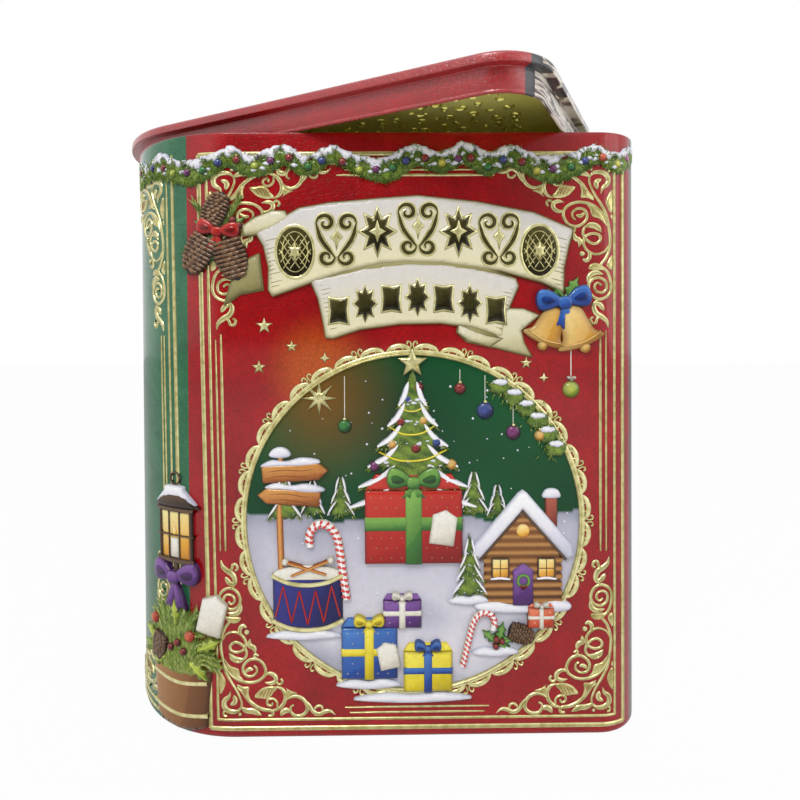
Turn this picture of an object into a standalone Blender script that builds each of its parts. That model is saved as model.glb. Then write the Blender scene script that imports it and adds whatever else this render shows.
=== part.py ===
"""Book-shaped christmas cookie tin with its lid lying askew on the open top.

Metres, +Z up. The origin is the middle of the bottom plate's underside. The
front cover faces -Y, the rounded spine is at -X and the fore-edge at +X.
The wall is one bent sheet with pressed relief, the bottom is a flat plate under
the wall's turned-in edge, and the lid is one pressed cap with a plug skirt.
"""
import math

import bmesh
import bpy
from mathutils import Matrix, Vector

# Driving sizes of the body
TIN_HEIGHT = 0.206
TIN_LENGTH = 0.185
TIN_THICKNESS = 0.090
FORE_CORNER = 0.016
SHEET = 0.0003
REST_GAP = 0.0003

# Top edge of the wall, folded inward
FOLD_THICKNESS = 0.0007
FOLD_DEPTH = 0.0030

# Bottom edge of the wall, turned inward, with the plate under it
FOOT_RADIUS = 0.0022
TURN_IN = 0.0050
PLATE_THICKNESS = 0.0003
PLATE_INSET = 0.0026
PLATE_RING_INSET = 0.0120
PLATE_RING_WIDTH = 0.0030
PLATE_RING_HEIGHT = 0.0006

# Lid
LID_TALL = 0.0109
LID_OVERHANG = 0.0020
LID_CLEARANCE = 0.00035
LID_BAND = 0.0032
LID_TOP_RADIUS = 0.0012
LID_RIM_WIDTH = 0.0028
LID_PANEL_DROP = 0.0006
LID_CURL_RADIUS = 0.00055
LID_TURN = math.radians(-27.4)
LID_PLACE = (-0.0157, -0.0010)

# Steps round the curves in plan
SPINE_STEPS = 28
CORNER_STEPS = 6

# Lock seam down the back
SEAM_WIDTH = 0.0050
SEAM_PROUD = 0.0004
SEAM_FROM_SPINE = 0.0300

# Pressed relief on the front and the spine
RELIEF_SINK = 0.00015
LINE_RELIEF = 0.0005
OUTER_LINE = 0.0018
INNER_LINE = 0.0010
FRAME_HALF_WIDTH = 0.0717
FRAME_LOW = 0.0040
FRAME_BELOW_TOP = 0.0080
FRAME_LINE_STEP = 0.0034
PRINT_OFF_MIDDLE = -0.0005
CURVE_STEP = 0.0024
MEDALLION_ASIDE = -0.0011
MEDALLION_HEIGHT = 0.0743
MEDALLION_RADIUS = 0.0578
MEDALLION_RING = 0.0042
MEDALLION_RELIEF = 0.0008
MEDALLION_SCALLOPS = 28
MEDALLION_WAVE = 0.0003
RIBBON_RELIEF = 0.0010
RIBBON_ABOVE_RING = 0.0278
RIBBON_WIDTH = 0.0215
RIBBON_REACH = 0.0520
RIBBON_BOW = 0.0112
LOWER_RIBBON_WIDTH = 0.0190
LOWER_RIBBON_REACH = 0.0330
LOWER_RIBBON_BOW = 0.0055
LOWER_RIBBON_DROP = 0.0155
RIBBON_END_WIDTH = 0.0090
GARLAND_RELIEF = 0.0012
GARLAND_BELOW_TOP = 0.0060
GARLAND_THICK = 0.0058
GARLAND_LOWS = (
    -0.0720, -0.0530, -0.0360, -0.0146, 0.0088, 0.0255, 0.0512, 0.0710, 0.0858, 0.1077, 0.1360)
GARLAND_DROP = 0.0034
GARLAND_STEPS = 6
BAUBLE_RADIUS = 0.0016
BAUBLE_PROUD = 0.0006
SCROLL_RELIEF = 0.0004
SCROLL_WIDTH = 0.0011
STEM_STEP = 0.00002
SPINE_LINE_PLACES = (-0.0216, -0.0245)
SPINE_LINE_LOW = 0.0090
SPINE_LINE_BELOW_TOP = 0.0200
SPINE_SCROLL_PLACE = -0.0360
SPINE_SCROLL_SPACING = 0.0220
SPINE_SCROLL_FROM_ENDS = 0.0340
SPINE_SCROLL_RADIUS = 0.0080

# Curls of one corner: inward, away from the corner, first angle in turns, radius
CORNER_CURLS = (
    (0.0052, 0.0405, 0.25, 0.0040), (0.0078, 0.0250, 0.50, 0.0045),
    (0.0130, 0.0168, 0.75, 0.0044), (0.0190, 0.0058, 0.60, 0.0027), (0.0283, 0.0046, 0.10, 0.0034),
)
# Stem of one corner: inward, away from the corner
CORNER_STEM = (
    (0.0205, 0.0028), (0.0134, 0.0045), (0.0082, 0.0098), (0.0048, 0.0136), (0.0026, 0.0200),
    (0.0018, 0.0262), (0.0030, 0.0312), (0.0046, 0.0348),
)

# Pressed pictures on the flat front: relief, then outline from the medallion's middle
PICTURES = (
    ("fir", 0.00110, (
        (-0.0205, 0.0060), (0.0205, 0.0060), (0.0120, 0.0240), (0.0050, 0.0440), (0.0000, 0.0520),
        (-0.0050, 0.0440), (-0.0120, 0.0240))),
    ("big_present", 0.00160, (
        (-0.0165, -0.0138), (0.0167, -0.0138), (0.0167, 0.0112), (0.0135, 0.0164),
        (-0.0133, 0.0164), (-0.0165, 0.0112))),
    ("cabin", 0.00130, (
        (0.0240, -0.0283), (0.0502, -0.0283), (0.0540, -0.0110), (0.0372, 0.0100), (0.0200, -0.0110))),
    ("drum", 0.00120, (
        (-0.0479, -0.0330), (-0.0359, -0.0362), (-0.0239, -0.0330), (-0.0239, -0.0174),
        (-0.0359, -0.0142), (-0.0479, -0.0174))),
    ("signpost", 0.00100, (
        (-0.0508, 0.0060), (-0.0292, 0.0068), (-0.0290, 0.0200), (-0.0510, 0.0190))),
    ("blue_present", 0.00150, (
        (-0.0245, -0.0528), (-0.0055, -0.0528), (-0.0055, -0.0353), (-0.0073, -0.0323),
        (-0.0227, -0.0323), (-0.0245, -0.0353))),
    ("yellow_present", 0.00140, (
        (-0.0034, -0.0571), (0.0130, -0.0571), (0.0130, -0.0437), (0.0113, -0.0411),
        (-0.0017, -0.0411), (-0.0034, -0.0437))),
    ("small_fir", 0.00090, (
        (0.0135, -0.0248), (0.0247, -0.0248), (0.0198, -0.0060), (0.0191, -0.0035), (0.0184, -0.0060))),
    ("bell_left", 0.00125, (
        (0.0370, 0.0640), (0.0505, 0.0580), (0.0525, 0.0700), (0.0490, 0.0725), (0.0455, 0.0710))),
    ("bell_right", 0.00135, (
        (0.0515, 0.0570), (0.0655, 0.0635), (0.0545, 0.0725), (0.0518, 0.0720))),
    ("bell_bow", 0.00175, (
        (0.0420, 0.0740), (0.0512, 0.0700), (0.0610, 0.0750), (0.0600, 0.0790), (0.0512, 0.0765),
        (0.0430, 0.0785))),
)

# Pressed pictures round the spine's bend: relief, then rows of along, low, high
BENT_PICTURES = (
    ("tub", 0.00140, (
        (-0.0355, 0.0060, 0.0240), (-0.0320, 0.0040, 0.0243), (-0.0280, 0.0030, 0.0245),
        (-0.0225, 0.0026, 0.0246), (-0.0170, 0.0030, 0.0245), (-0.0130, 0.0040, 0.0243),
        (-0.0095, 0.0060, 0.0240))),
    ("fir_bunch", 0.00125, (
        (-0.0380, 0.0262, 0.0320), (-0.0320, 0.0255, 0.0410), (-0.0270, 0.0253, 0.0455),
        (-0.0225, 0.0252, 0.0470), (-0.0180, 0.0253, 0.0455), (-0.0130, 0.0255, 0.0410),
        (-0.0065, 0.0262, 0.0320))),
    ("lantern", 0.00130, (
        (-0.0306, 0.0600, 0.0790), (-0.0280, 0.0595, 0.0830), (-0.0225, 0.0592, 0.0855),
        (-0.0170, 0.0595, 0.0830), (-0.0144, 0.0600, 0.0790))),
    ("cones", 0.00150, (
        (-0.0135, 0.1580, 0.1700), (-0.0100, 0.1555, 0.1840), (-0.0060, 0.1560, 0.1870),
        (-0.0020, 0.1550, 0.1780), (0.0020, 0.1560, 0.1760), (0.0050, 0.1620, 0.1720))),
)
PICTURE_BEVEL = 0.0006

SPINE_RADIUS = TIN_THICKNESS / 2
SPINE_X = -TIN_LENGTH / 2 + SPINE_RADIUS
FRONT_FLAT = TIN_LENGTH - SPINE_RADIUS - FORE_CORNER
FORE_FLAT = TIN_THICKNESS - 2 * FORE_CORNER
CORNER_ARC = FORE_CORNER * math.pi / 2
SPINE_ARC = SPINE_RADIUS * math.pi
FRONT_MIDDLE = FRONT_FLAT / 2 + PRINT_OFF_MIDDLE
MEDALLION_MIDDLE = FRONT_MIDDLE + MEDALLION_ASIDE
WALL_FOOT = PLATE_THICKNESS + REST_GAP
FRAME_HIGH = TIN_HEIGHT - FRAME_BELOW_TOP
TAU = 2 * math.pi


def plan_point(along, out):
    """Point in plan at a distance along the outline, moved out square to it.

    Zero is where the spine's round ends on the front. Positive runs over the
    front to the fore-edge, negative runs back round the spine.
    """
    if along < 0:
        angle = -along / SPINE_RADIUS
        reach = SPINE_RADIUS + out
        return Vector((SPINE_X - reach * math.sin(angle), -reach * math.cos(angle)))
    if along <= FRONT_FLAT:
        return Vector((SPINE_X + along, -SPINE_RADIUS - out))
    along -= FRONT_FLAT
    corner_x = SPINE_X + FRONT_FLAT
    corner_y = FORE_FLAT / 2
    reach = FORE_CORNER + out
    if along <= CORNER_ARC:
        angle = along / FORE_CORNER
        return Vector((corner_x + reach * math.sin(angle), -corner_y - reach * math.cos(angle)))
    along -= CORNER_ARC
    if along <= FORE_FLAT:
        return Vector((corner_x + reach, -corner_y + along))
    along -= FORE_FLAT
    if along <= CORNER_ARC:
        angle = along / FORE_CORNER
        return Vector((corner_x + reach * math.cos(angle), corner_y + reach * math.sin(angle)))
    along -= CORNER_ARC
    return Vector((corner_x - along, SPINE_RADIUS + out))


def outline_places():
    """Places along the outline, once round, close enough for its curves."""
    places = [-SPINE_ARC + SPINE_ARC * i / SPINE_STEPS for i in range(SPINE_STEPS + 1)]
    first_corner = FRONT_FLAT
    second_corner = FRONT_FLAT + CORNER_ARC + FORE_FLAT
    for start in (first_corner, second_corner):
        places += [start + CORNER_ARC * i / CORNER_STEPS for i in range(CORNER_STEPS + 1)]
    return places


def clear_objects():
    for old in list(bpy.data.objects):
        bpy.data.objects.remove(old, do_unlink=True)


def painted_tin(name, colour, roughness=0.32, metallic=0.35):
    material = bpy.data.materials.new(name)
    material.use_nodes = True
    shader = material.node_tree.nodes["Principled BSDF"]
    shader.inputs["Base Color"].default_value = (*colour, 1.0)
    shader.inputs["Roughness"].default_value = roughness
    shader.inputs["Metallic"].default_value = metallic
    return material


def object_from(name, mesh_data, material=None):
    mesh = bpy.data.meshes.new(name)
    mesh_data.to_mesh(mesh)
    mesh_data.free()
    if material:
        mesh.materials.append(material)
    shape = bpy.data.objects.new(name, mesh)
    bpy.context.scene.collection.objects.link(shape)
    return shape


def sheet_solid(name, profile, closed, material):
    """Sweep a profile of (out, height) pairs once round the outline.

    A closed profile gives a tube. An open one is capped at both its ends.
    """
    data = bmesh.new()
    places = outline_places()
    rings = []
    for out, height in profile:
        ring = []
        for along in places:
            point = plan_point(along, out)
            ring.append(data.verts.new((point.x, point.y, height)))
        rings.append(ring)
    count = len(places)
    pairs = list(zip(rings[:-1], rings[1:]))
    if closed:
        pairs.append((rings[-1], rings[0]))
    for lower, upper in pairs:
        for i in range(count):
            j = (i + 1) % count
            data.faces.new((lower[i], lower[j], upper[j], upper[i]))
    if not closed:
        data.faces.new(rings[0])
        data.faces.new(rings[-1])
    bmesh.ops.recalc_face_normals(data, faces=data.faces)
    shape = object_from(name, data, material)
    shape.data.shade_smooth()
    shape.data.set_sharp_from_angle(angle=math.radians(35))
    return shape


def arc(centre, radius, start, end, steps):
    """Points on an arc in the profile plane, angles in degrees."""
    points = []
    for i in range(steps + 1):
        angle = math.radians(start + (end - start) * i / steps)
        points.append((centre[0] + radius * math.cos(angle), centre[1] + radius * math.sin(angle)))
    return points


def wall_profile():
    """Section of the wall: turned in at the foot, folded inward at the top."""
    foot = WALL_FOOT
    fold = FOLD_THICKNESS / 2
    outside = [(-TURN_IN, foot)]
    outside += arc((-FOOT_RADIUS, foot + FOOT_RADIUS), FOOT_RADIUS, -90, 0, 4)
    outside += arc((-fold, TIN_HEIGHT - fold), fold, 0, 180, 4)
    inside = [
        (-FOLD_THICKNESS, TIN_HEIGHT - FOLD_DEPTH),
        (-SHEET, TIN_HEIGHT - FOLD_DEPTH - FOLD_THICKNESS),
    ]
    inside += arc((-FOOT_RADIUS, foot + FOOT_RADIUS), FOOT_RADIUS - SHEET, 0, -90, 4)
    inside += [(-TURN_IN, foot + SHEET)]
    return outside + inside


def lid_profile():
    """Section of the lid from the panel's top, over the band, to its underside."""
    skirt = -(FOLD_THICKNESS + LID_CLEARANCE)
    band = LID_OVERHANG
    step = LID_TALL - LID_BAND
    soft = LID_TOP_RADIUS
    panel = LID_TALL - LID_PANEL_DROP
    rim_in = band - soft - LID_RIM_WIDTH
    ease = SHEET
    curl = LID_CURL_RADIUS
    curl_middle = (skirt - curl, curl)
    outside = [(rim_in - LID_PANEL_DROP, panel), (rim_in, LID_TALL)]
    outside += arc((band - soft, LID_TALL - soft), soft, 90, 0, 4)
    outside += [(band, step + ease), (band - ease, step), (skirt, step)]
    outside += [(skirt, 2 * curl)]
    outside += arc(curl_middle, curl, 0, -180, 6)
    inside = [(skirt - 2 * curl, 1.6 * curl), (skirt - SHEET, 2.6 * curl)]
    inside += [(skirt - SHEET, step + SHEET), (band - SHEET, step + SHEET)]
    inside += arc((band - soft, LID_TALL - soft), soft - SHEET, 0, 90, 3)
    inside += [(rim_in, LID_TALL - SHEET), (rim_in - LID_PANEL_DROP, panel - SHEET)]
    return outside + inside


def strip(name, path, half_widths, relief, closed=False):
    """A raised strip that follows a path of (along, height) on the tin's outside."""
    data = bmesh.new()
    count = len(path)
    rows = []
    for i, (along, height) in enumerate(path):
        before = path[(i - 1) % count] if closed or i > 0 else path[i]
        after = path[(i + 1) % count] if closed or i < count - 1 else path[i]
        run = Vector((after[0] - before[0], after[1] - before[1])).normalized()
        side = Vector((-run.y, run.x))
        half = half_widths[i] if isinstance(half_widths, list) else half_widths
        row = []
        for across, out in ((-1, -RELIEF_SINK), (-0.65, relief), (0.65, relief), (1, -RELIEF_SINK)):
            place = (along + side.x * half * across, height + side.y * half * across)
            point = plan_point(place[0], out)
            row.append(data.verts.new((point.x, point.y, place[1])))
        rows.append(row)
    pairs = list(zip(rows[:-1], rows[1:]))
    if closed:
        pairs.append((rows[-1], rows[0]))
    for first, second in pairs:
        for k in range(4):
            m = (k + 1) % 4
            data.faces.new((first[k], first[m], second[m], second[k]))
    if not closed:
        data.faces.new(rows[0])
        data.faces.new(rows[-1])
    bmesh.ops.recalc_face_normals(data, faces=data.faces)
    return as_relief(object_from(name, data))


def dome(name, along, height, radius, relief, sides=8):
    """A low round boss on the tin's outside."""
    data = bmesh.new()
    rings = []
    for share, out in ((1.0, -RELIEF_SINK), (0.8, 0.6 * relief)):
        ring = []
        for i in range(sides):
            angle = TAU * i / sides
            place = along + radius * share * math.cos(angle)
            point = plan_point(place, out)
            ring.append(data.verts.new((point.x, point.y, height + radius * share * math.sin(angle))))
        rings.append(ring)
    top = plan_point(along, relief)
    crown = data.verts.new((top.x, top.y, height))
    data.faces.new(rings[0])
    for i in range(sides):
        j = (i + 1) % sides
        data.faces.new((rings[0][i], rings[0][j], rings[1][j], rings[1][i]))
        data.faces.new((rings[1][i], rings[1][j], crown))
    bmesh.ops.recalc_face_normals(data, faces=data.faces)
    return as_relief(object_from(name, data))


def as_relief(shape):
    """Put a shape in the collection that is joined to the wall, out of renders."""
    for home in list(shape.users_collection):
        home.objects.unlink(shape)
    relief_collection().objects.link(shape)
    shape.hide_render = True
    shape.display_type = "WIRE"
    return shape


def relief_collection():
    found = bpy.data.collections.get("pressed_relief")
    if found is None:
        found = bpy.data.collections.new("pressed_relief")
        bpy.context.scene.collection.children.link(found)
    return found


def places_between(left, right):
    """Places from left to right along the wall, close together only where it bends."""
    places = [left]
    bends = ((min(left, 0.0), min(right, 0.0)), (max(left, FRONT_FLAT), max(right, FRONT_FLAT)))
    for start, end in bends:
        count = math.ceil((end - start) / CURVE_STEP)
        places += [start + (end - start) * i / count for i in range(count + 1)] if count > 0 else []
    places.append(right)
    spaced = []
    for place in sorted(places):
        if not spaced or place - spaced[-1] > CURVE_STEP / 10:
            spaced.append(place)
    return spaced


def frame_lines():
    """The double gold line round the front cover."""
    for number, (inset, width) in enumerate(((0.0, OUTER_LINE), (FRAME_LINE_STEP, INNER_LINE))):
        half = FRAME_HALF_WIDTH - inset
        low = FRAME_LOW + inset
        high = FRAME_HIGH - inset
        left = FRONT_MIDDLE - half
        right = FRONT_MIDDLE + half
        across = places_between(left, right)
        path = [(along, low) for along in across]
        path += [(along, high) for along in reversed(across)]
        strip("frame_line_%d" % number, path, width / 2, LINE_RELIEF, closed=True)


def medallion():
    """The round scalloped frame in the middle of the front."""
    steps = 2 * MEDALLION_SCALLOPS
    path = []
    widths = []
    for i in range(steps):
        angle = TAU * i / steps
        bump = MEDALLION_WAVE if i % 2 else -MEDALLION_WAVE
        reach = MEDALLION_RADIUS + bump
        path.append((MEDALLION_MIDDLE + reach * math.cos(angle), MEDALLION_HEIGHT + reach * math.sin(angle)))
        widths.append(MEDALLION_RING / 2 + bump)
    strip("medallion_ring", path, widths, MEDALLION_RELIEF, closed=True)


def bow_path(left, middle, right, steps):
    """A circular bow through three (along, height) points."""
    (x0, y0), (x1, y1), (x2, y2) = left, middle, right
    turn = 2 * (x0 * (y1 - y2) + x1 * (y2 - y0) + x2 * (y0 - y1))
    s0, s1, s2 = x0 * x0 + y0 * y0, x1 * x1 + y1 * y1, x2 * x2 + y2 * y2
    cx = (s0 * (y1 - y2) + s1 * (y2 - y0) + s2 * (y0 - y1)) / turn
    cy = (s0 * (x2 - x1) + s1 * (x0 - x2) + s2 * (x1 - x0)) / turn
    radius = math.hypot(x0 - cx, y0 - cy)
    start = math.atan2(y0 - cy, x0 - cx)
    end = math.atan2(y2 - cy, x2 - cx)
    points = []
    for i in range(steps + 1):
        angle = start + (end - start) * i / steps
        points.append((cx + radius * math.cos(angle), cy + radius * math.sin(angle)))
    return points


def bowed(reach, height, bow, steps):
    """A bow over the medallion, its ends at a height."""
    middle = MEDALLION_MIDDLE
    return bow_path((middle - reach, height), (middle, height + bow), (middle + reach, height), steps)


def ribbon():
    """The two bare bands of the ribbon over the medallion, and its free ends."""
    ring_top = MEDALLION_HEIGHT + MEDALLION_RADIUS + MEDALLION_RING / 2
    upper_height = ring_top + RIBBON_ABOVE_RING
    lower_height = upper_height - LOWER_RIBBON_DROP
    upper = bowed(RIBBON_REACH, upper_height, RIBBON_BOW, 12)
    strip("ribbon_upper", upper, RIBBON_WIDTH / 2, RIBBON_RELIEF)
    lower = bowed(LOWER_RIBBON_REACH, lower_height, LOWER_RIBBON_BOW, 8)
    strip("ribbon_lower", lower, LOWER_RIBBON_WIDTH / 2, RIBBON_RELIEF * 0.8)
    half = RIBBON_END_WIDTH / 2
    end = Vector((MEDALLION_MIDDLE + LOWER_RIBBON_REACH, lower_height - LOWER_RIBBON_WIDTH / 2))
    tail = [(end.x - 2 * half, end.y), (end.x, end.y - half / 3), (end.x + 2 * half, end.y + half / 3)]
    strip("ribbon_tail_right", tail, half, RIBBON_RELIEF * 0.6)
    start = Vector((MEDALLION_MIDDLE - RIBBON_REACH, upper_height - RIBBON_WIDTH / 3))
    fold = [(start.x - 2 * half, start.y - half * 0.7), (start.x - half * 0.7, start.y)]
    fold.append((start.x + half * 0.7, start.y + half))
    strip("ribbon_tail_left", fold, half, RIBBON_RELIEF * 0.6)
    top = Vector((MEDALLION_MIDDLE - RIBBON_REACH, upper_height + RIBBON_WIDTH / 2))
    roll = [(top.x - half * 0.7, top.y), (top.x + half * 0.9, top.y + half * 0.6)]
    roll.append((top.x + half * 2.4, top.y + half * 1.1))
    strip("ribbon_roll_left", roll, half * 0.7, RIBBON_RELIEF * 1.3)


def panel(name, relief, outline):
    """A low flat-topped shape on the tin's flat front, its sides bevelled."""
    data = bmesh.new()
    middle = Vector((sum(x for x, y in outline) / len(outline), sum(y for x, y in outline) / len(outline)))
    rings = []
    for inset, out in ((0.0, -RELIEF_SINK), (PICTURE_BEVEL, relief)):
        ring = []
        for x, y in outline:
            spoke = Vector((x, y)) - middle
            place = middle + spoke * (1 - inset / spoke.length)
            point = plan_point(MEDALLION_MIDDLE + place.x, out)
            ring.append(data.verts.new((point.x, point.y, MEDALLION_HEIGHT + place.y)))
        rings.append(ring)
    count = len(outline)
    data.faces.new(rings[0])
    data.faces.new(rings[1])
    for i in range(count):
        j = (i + 1) % count
        data.faces.new((rings[0][i], rings[0][j], rings[1][j], rings[1][i]))
    bmesh.ops.recalc_face_normals(data, faces=data.faces)
    return as_relief(object_from(name, data))


def bent_panel(name, relief, upright_rows):
    """A low shape that follows the spine's bend, from upright rows of (along, low, high)."""
    data = bmesh.new()
    rows = []
    for along, low, high in upright_rows:
        foot = (low, -RELIEF_SINK)
        head = (high, -RELIEF_SINK)
        places = (foot, (low + PICTURE_BEVEL, relief), (high - PICTURE_BEVEL, relief), head)
        row = []
        for height, out in places:
            point = plan_point(along, out)
            row.append(data.verts.new((point.x, point.y, height)))
        rows.append(row)
    for first, second in zip(rows[:-1], rows[1:]):
        for k in range(4):
            m = (k + 1) % 4
            data.faces.new((first[k], first[m], second[m], second[k]))
    data.faces.new(rows[0])
    data.faces.new(rows[-1])
    bmesh.ops.recalc_face_normals(data, faces=data.faces)
    return as_relief(object_from(name, data))


def garland():
    """The fir garland in swags round the top, with its baubles."""
    high = TIN_HEIGHT - GARLAND_BELOW_TOP
    swags = list(zip(GARLAND_LOWS[:-1], GARLAND_LOWS[1:]))
    rows = []
    for number, (first, second) in enumerate(swags):
        hump = (first + second) / 2
        proud = GARLAND_RELIEF + BAUBLE_PROUD
        dome("garland_bauble_%d" % number, hump, high - GARLAND_THICK * 0.6, BAUBLE_RADIUS, proud, sides=6)
        for i in range(GARLAND_STEPS):
            share = i / GARLAND_STEPS
            along = first + (second - first) * share
            droop = GARLAND_DROP * abs(1 - 2 * share)
            rows.append((along, high - GARLAND_THICK - 1.3 * droop, high - 0.7 * droop))
    low_end = high - GARLAND_THICK - 1.3 * GARLAND_DROP
    rows.append((GARLAND_LOWS[-1], low_end, high - 0.7 * GARLAND_DROP))
    bent_panel("garland_band", GARLAND_RELIEF, rows)


def pictures():
    """The pressed pictures in and beside the medallion, and round the spine's bend."""
    for name, relief, outline in PICTURES:
        panel("picture_" + name, relief, outline)
    for name, relief, upright_rows in BENT_PICTURES:
        bent_panel("picture_" + name, relief, upright_rows)


def curl_path(along, height, start, turn, radius, shrink, steps):
    """A spiral that closes in on a middle, angles in turns."""
    points = []
    for i in range(steps + 1):
        share = i / steps
        angle = TAU * (start + turn * share)
        reach = radius * (1 - shrink * share)
        points.append((along + reach * math.cos(angle), height + reach * math.sin(angle)))
    return points


def corner_scrolls():
    """Pressed scrolls in the four corners of the front."""
    reach = FRAME_HALF_WIDTH - FRAME_LINE_STEP
    low = FRAME_LOW + FRAME_LINE_STEP
    high = FRAME_HIGH - FRAME_LINE_STEP - GARLAND_THICK
    curl_steps = 12
    humps = [math.sin(math.pi * i / curl_steps) for i in range(curl_steps + 1)]
    swell = [SCROLL_WIDTH / 2 * (0.6 + 0.4 * hump) for hump in humps]
    for side in (-1, 1):
        for base, up in ((low, 1), (high, -1)):
            corner = "%s_%s" % ("right" if side > 0 else "left", "up" if up > 0 else "down")
            edge = FRONT_MIDDLE + side * reach
            stem = [(edge - side * inward, base + up * away) for inward, away in CORNER_STEM]
            strip("stem_" + corner, stem, SCROLL_WIDTH / 2, SCROLL_RELIEF - STEM_STEP)
            for number, (inward, away, start, radius) in enumerate(CORNER_CURLS):
                path = curl_path(0, 0, start, 1.35, radius, 0.72, curl_steps)
                placed = [(edge - side * (inward - x), base + up * (away + y)) for x, y in path]
                strip("scroll_%s_%d" % (corner, number), placed, swell, SCROLL_RELIEF + STEM_STEP * number)


def spine_relief():
    """Upright lines and scrolls on the rounded spine."""
    line_high = TIN_HEIGHT - SPINE_LINE_BELOW_TOP
    for number, along in enumerate(SPINE_LINE_PLACES):
        width = OUTER_LINE if number == 0 else INNER_LINE
        strip("spine_line_%d" % number, [(along, SPINE_LINE_LOW), (along, line_high)], width / 2, LINE_RELIEF)
    top = TIN_HEIGHT - SPINE_SCROLL_FROM_ENDS
    for number, height in enumerate((top, top - SPINE_SCROLL_SPACING)):
        path = curl_path(SPINE_SCROLL_PLACE, height, 0.1, 1.4 * (-1) ** number, SPINE_SCROLL_RADIUS, 0.75, 14)
        strip("spine_scroll_%d" % number, path, SCROLL_WIDTH / 2, SCROLL_RELIEF)


def back_seam():
    """The lock seam, where the wall's two ends are folded into each other."""
    round_to_back = FRONT_FLAT + CORNER_ARC + FORE_FLAT + CORNER_ARC
    along = round_to_back + FRONT_FLAT - SEAM_FROM_SPINE
    low = WALL_FOOT + FOOT_RADIUS + REST_GAP
    high = TIN_HEIGHT - FOLD_DEPTH
    strip("back_seam", [(along, low), (along, high)], SEAM_WIDTH / 2, SEAM_PROUD)


def tin_wall():
    wall = sheet_solid("tin_wall", wall_profile(), True, painted_tin("red_print", (0.42, 0.012, 0.018)))
    frame_lines()
    medallion()
    ribbon()
    garland()
    corner_scrolls()
    spine_relief()
    pictures()
    back_seam()
    pressed = wall.modifiers.new("pressed_relief", "BOOLEAN")
    pressed.operation = "UNION"
    pressed.operand_type = "COLLECTION"
    pressed.solver = "EXACT"
    pressed.collection = relief_collection()
    return wall


def tin_bottom():
    """Flat plate under the wall's turned-in edge, with one pressed ring."""
    ring_out = -PLATE_RING_INSET
    ring_in = ring_out - PLATE_RING_WIDTH
    slope = PLATE_RING_HEIGHT
    lift = PLATE_RING_HEIGHT
    upper = PLATE_THICKNESS
    profile = [
        (ring_in, 0.0), (ring_in + slope, lift), (ring_out - slope, lift), (ring_out, 0.0),
        (-PLATE_INSET, 0.0), (-PLATE_INSET, upper), (ring_out, upper),
        (ring_out - slope, upper + lift), (ring_in + slope, upper + lift), (ring_in, upper),
    ]
    bare_tin = painted_tin("plain_tinplate", (0.5, 0.5, 0.48), 0.35, 0.9)
    return sheet_solid("tin_bottom", profile, False, bare_tin)


def lid():
    """Pressed lid, turned and laid level across the open top."""
    cap = sheet_solid("lid", lid_profile(), False, painted_tin("lid_print", (0.45, 0.03, 0.03)))
    place = Matrix.Translation((LID_PLACE[0], LID_PLACE[1], TIN_HEIGHT + REST_GAP))
    cap.matrix_world = place @ Matrix.Rotation(LID_TURN, 4, "Z")
    return cap


clear_objects()
tin_wall()
tin_bottom()
lid()
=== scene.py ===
# %% [markdown]
# # A book-shaped christmas tin
# A cookie tin of this kind is thin steel sheet, coated with tin, printed with ink and
# varnish while it is still flat, then pressed so that the picture stands up as relief,
# bent round and seamed. This lesson dresses a finished CAD frame of the tin: smooth sheet
# metal, gold-printed scrolls, a fir garland, a picture in a round frame, a loose lid.

# %% Load the frame
import random
from math import atan2, cos, hypot, pi, radians, sin, sqrt

import bmesh
import bpy
import numpy as np
from mathutils import Matrix, Vector
from mathutils.geometry import delaunay_2d_cdt


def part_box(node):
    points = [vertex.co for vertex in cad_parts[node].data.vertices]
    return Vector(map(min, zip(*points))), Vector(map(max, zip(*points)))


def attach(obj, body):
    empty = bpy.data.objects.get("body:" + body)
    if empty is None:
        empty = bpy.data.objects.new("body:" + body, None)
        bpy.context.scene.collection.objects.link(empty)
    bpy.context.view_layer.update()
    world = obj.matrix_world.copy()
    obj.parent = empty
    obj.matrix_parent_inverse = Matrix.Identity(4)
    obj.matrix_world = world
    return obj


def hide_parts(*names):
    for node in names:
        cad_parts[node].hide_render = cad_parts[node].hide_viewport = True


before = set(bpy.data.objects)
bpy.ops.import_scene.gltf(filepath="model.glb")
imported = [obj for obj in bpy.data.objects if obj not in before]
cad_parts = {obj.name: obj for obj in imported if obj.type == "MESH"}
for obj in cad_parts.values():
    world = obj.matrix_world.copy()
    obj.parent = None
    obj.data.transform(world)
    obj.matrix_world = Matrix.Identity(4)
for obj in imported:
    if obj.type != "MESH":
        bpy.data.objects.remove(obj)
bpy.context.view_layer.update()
MM = 0.001
TAU = 2 * pi

# %% [markdown]
# ## The tin's plan
# All decoration is laid out on the flat sheet, as a printer would do it: a distance along
# the outline and a height above the foot. One function then carries each point to the bent
# wall, so a flat drawing wraps round the spine without any fitting. The sizes are those of
# the frame, and the flat front starts where the round of the spine ends.

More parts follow.
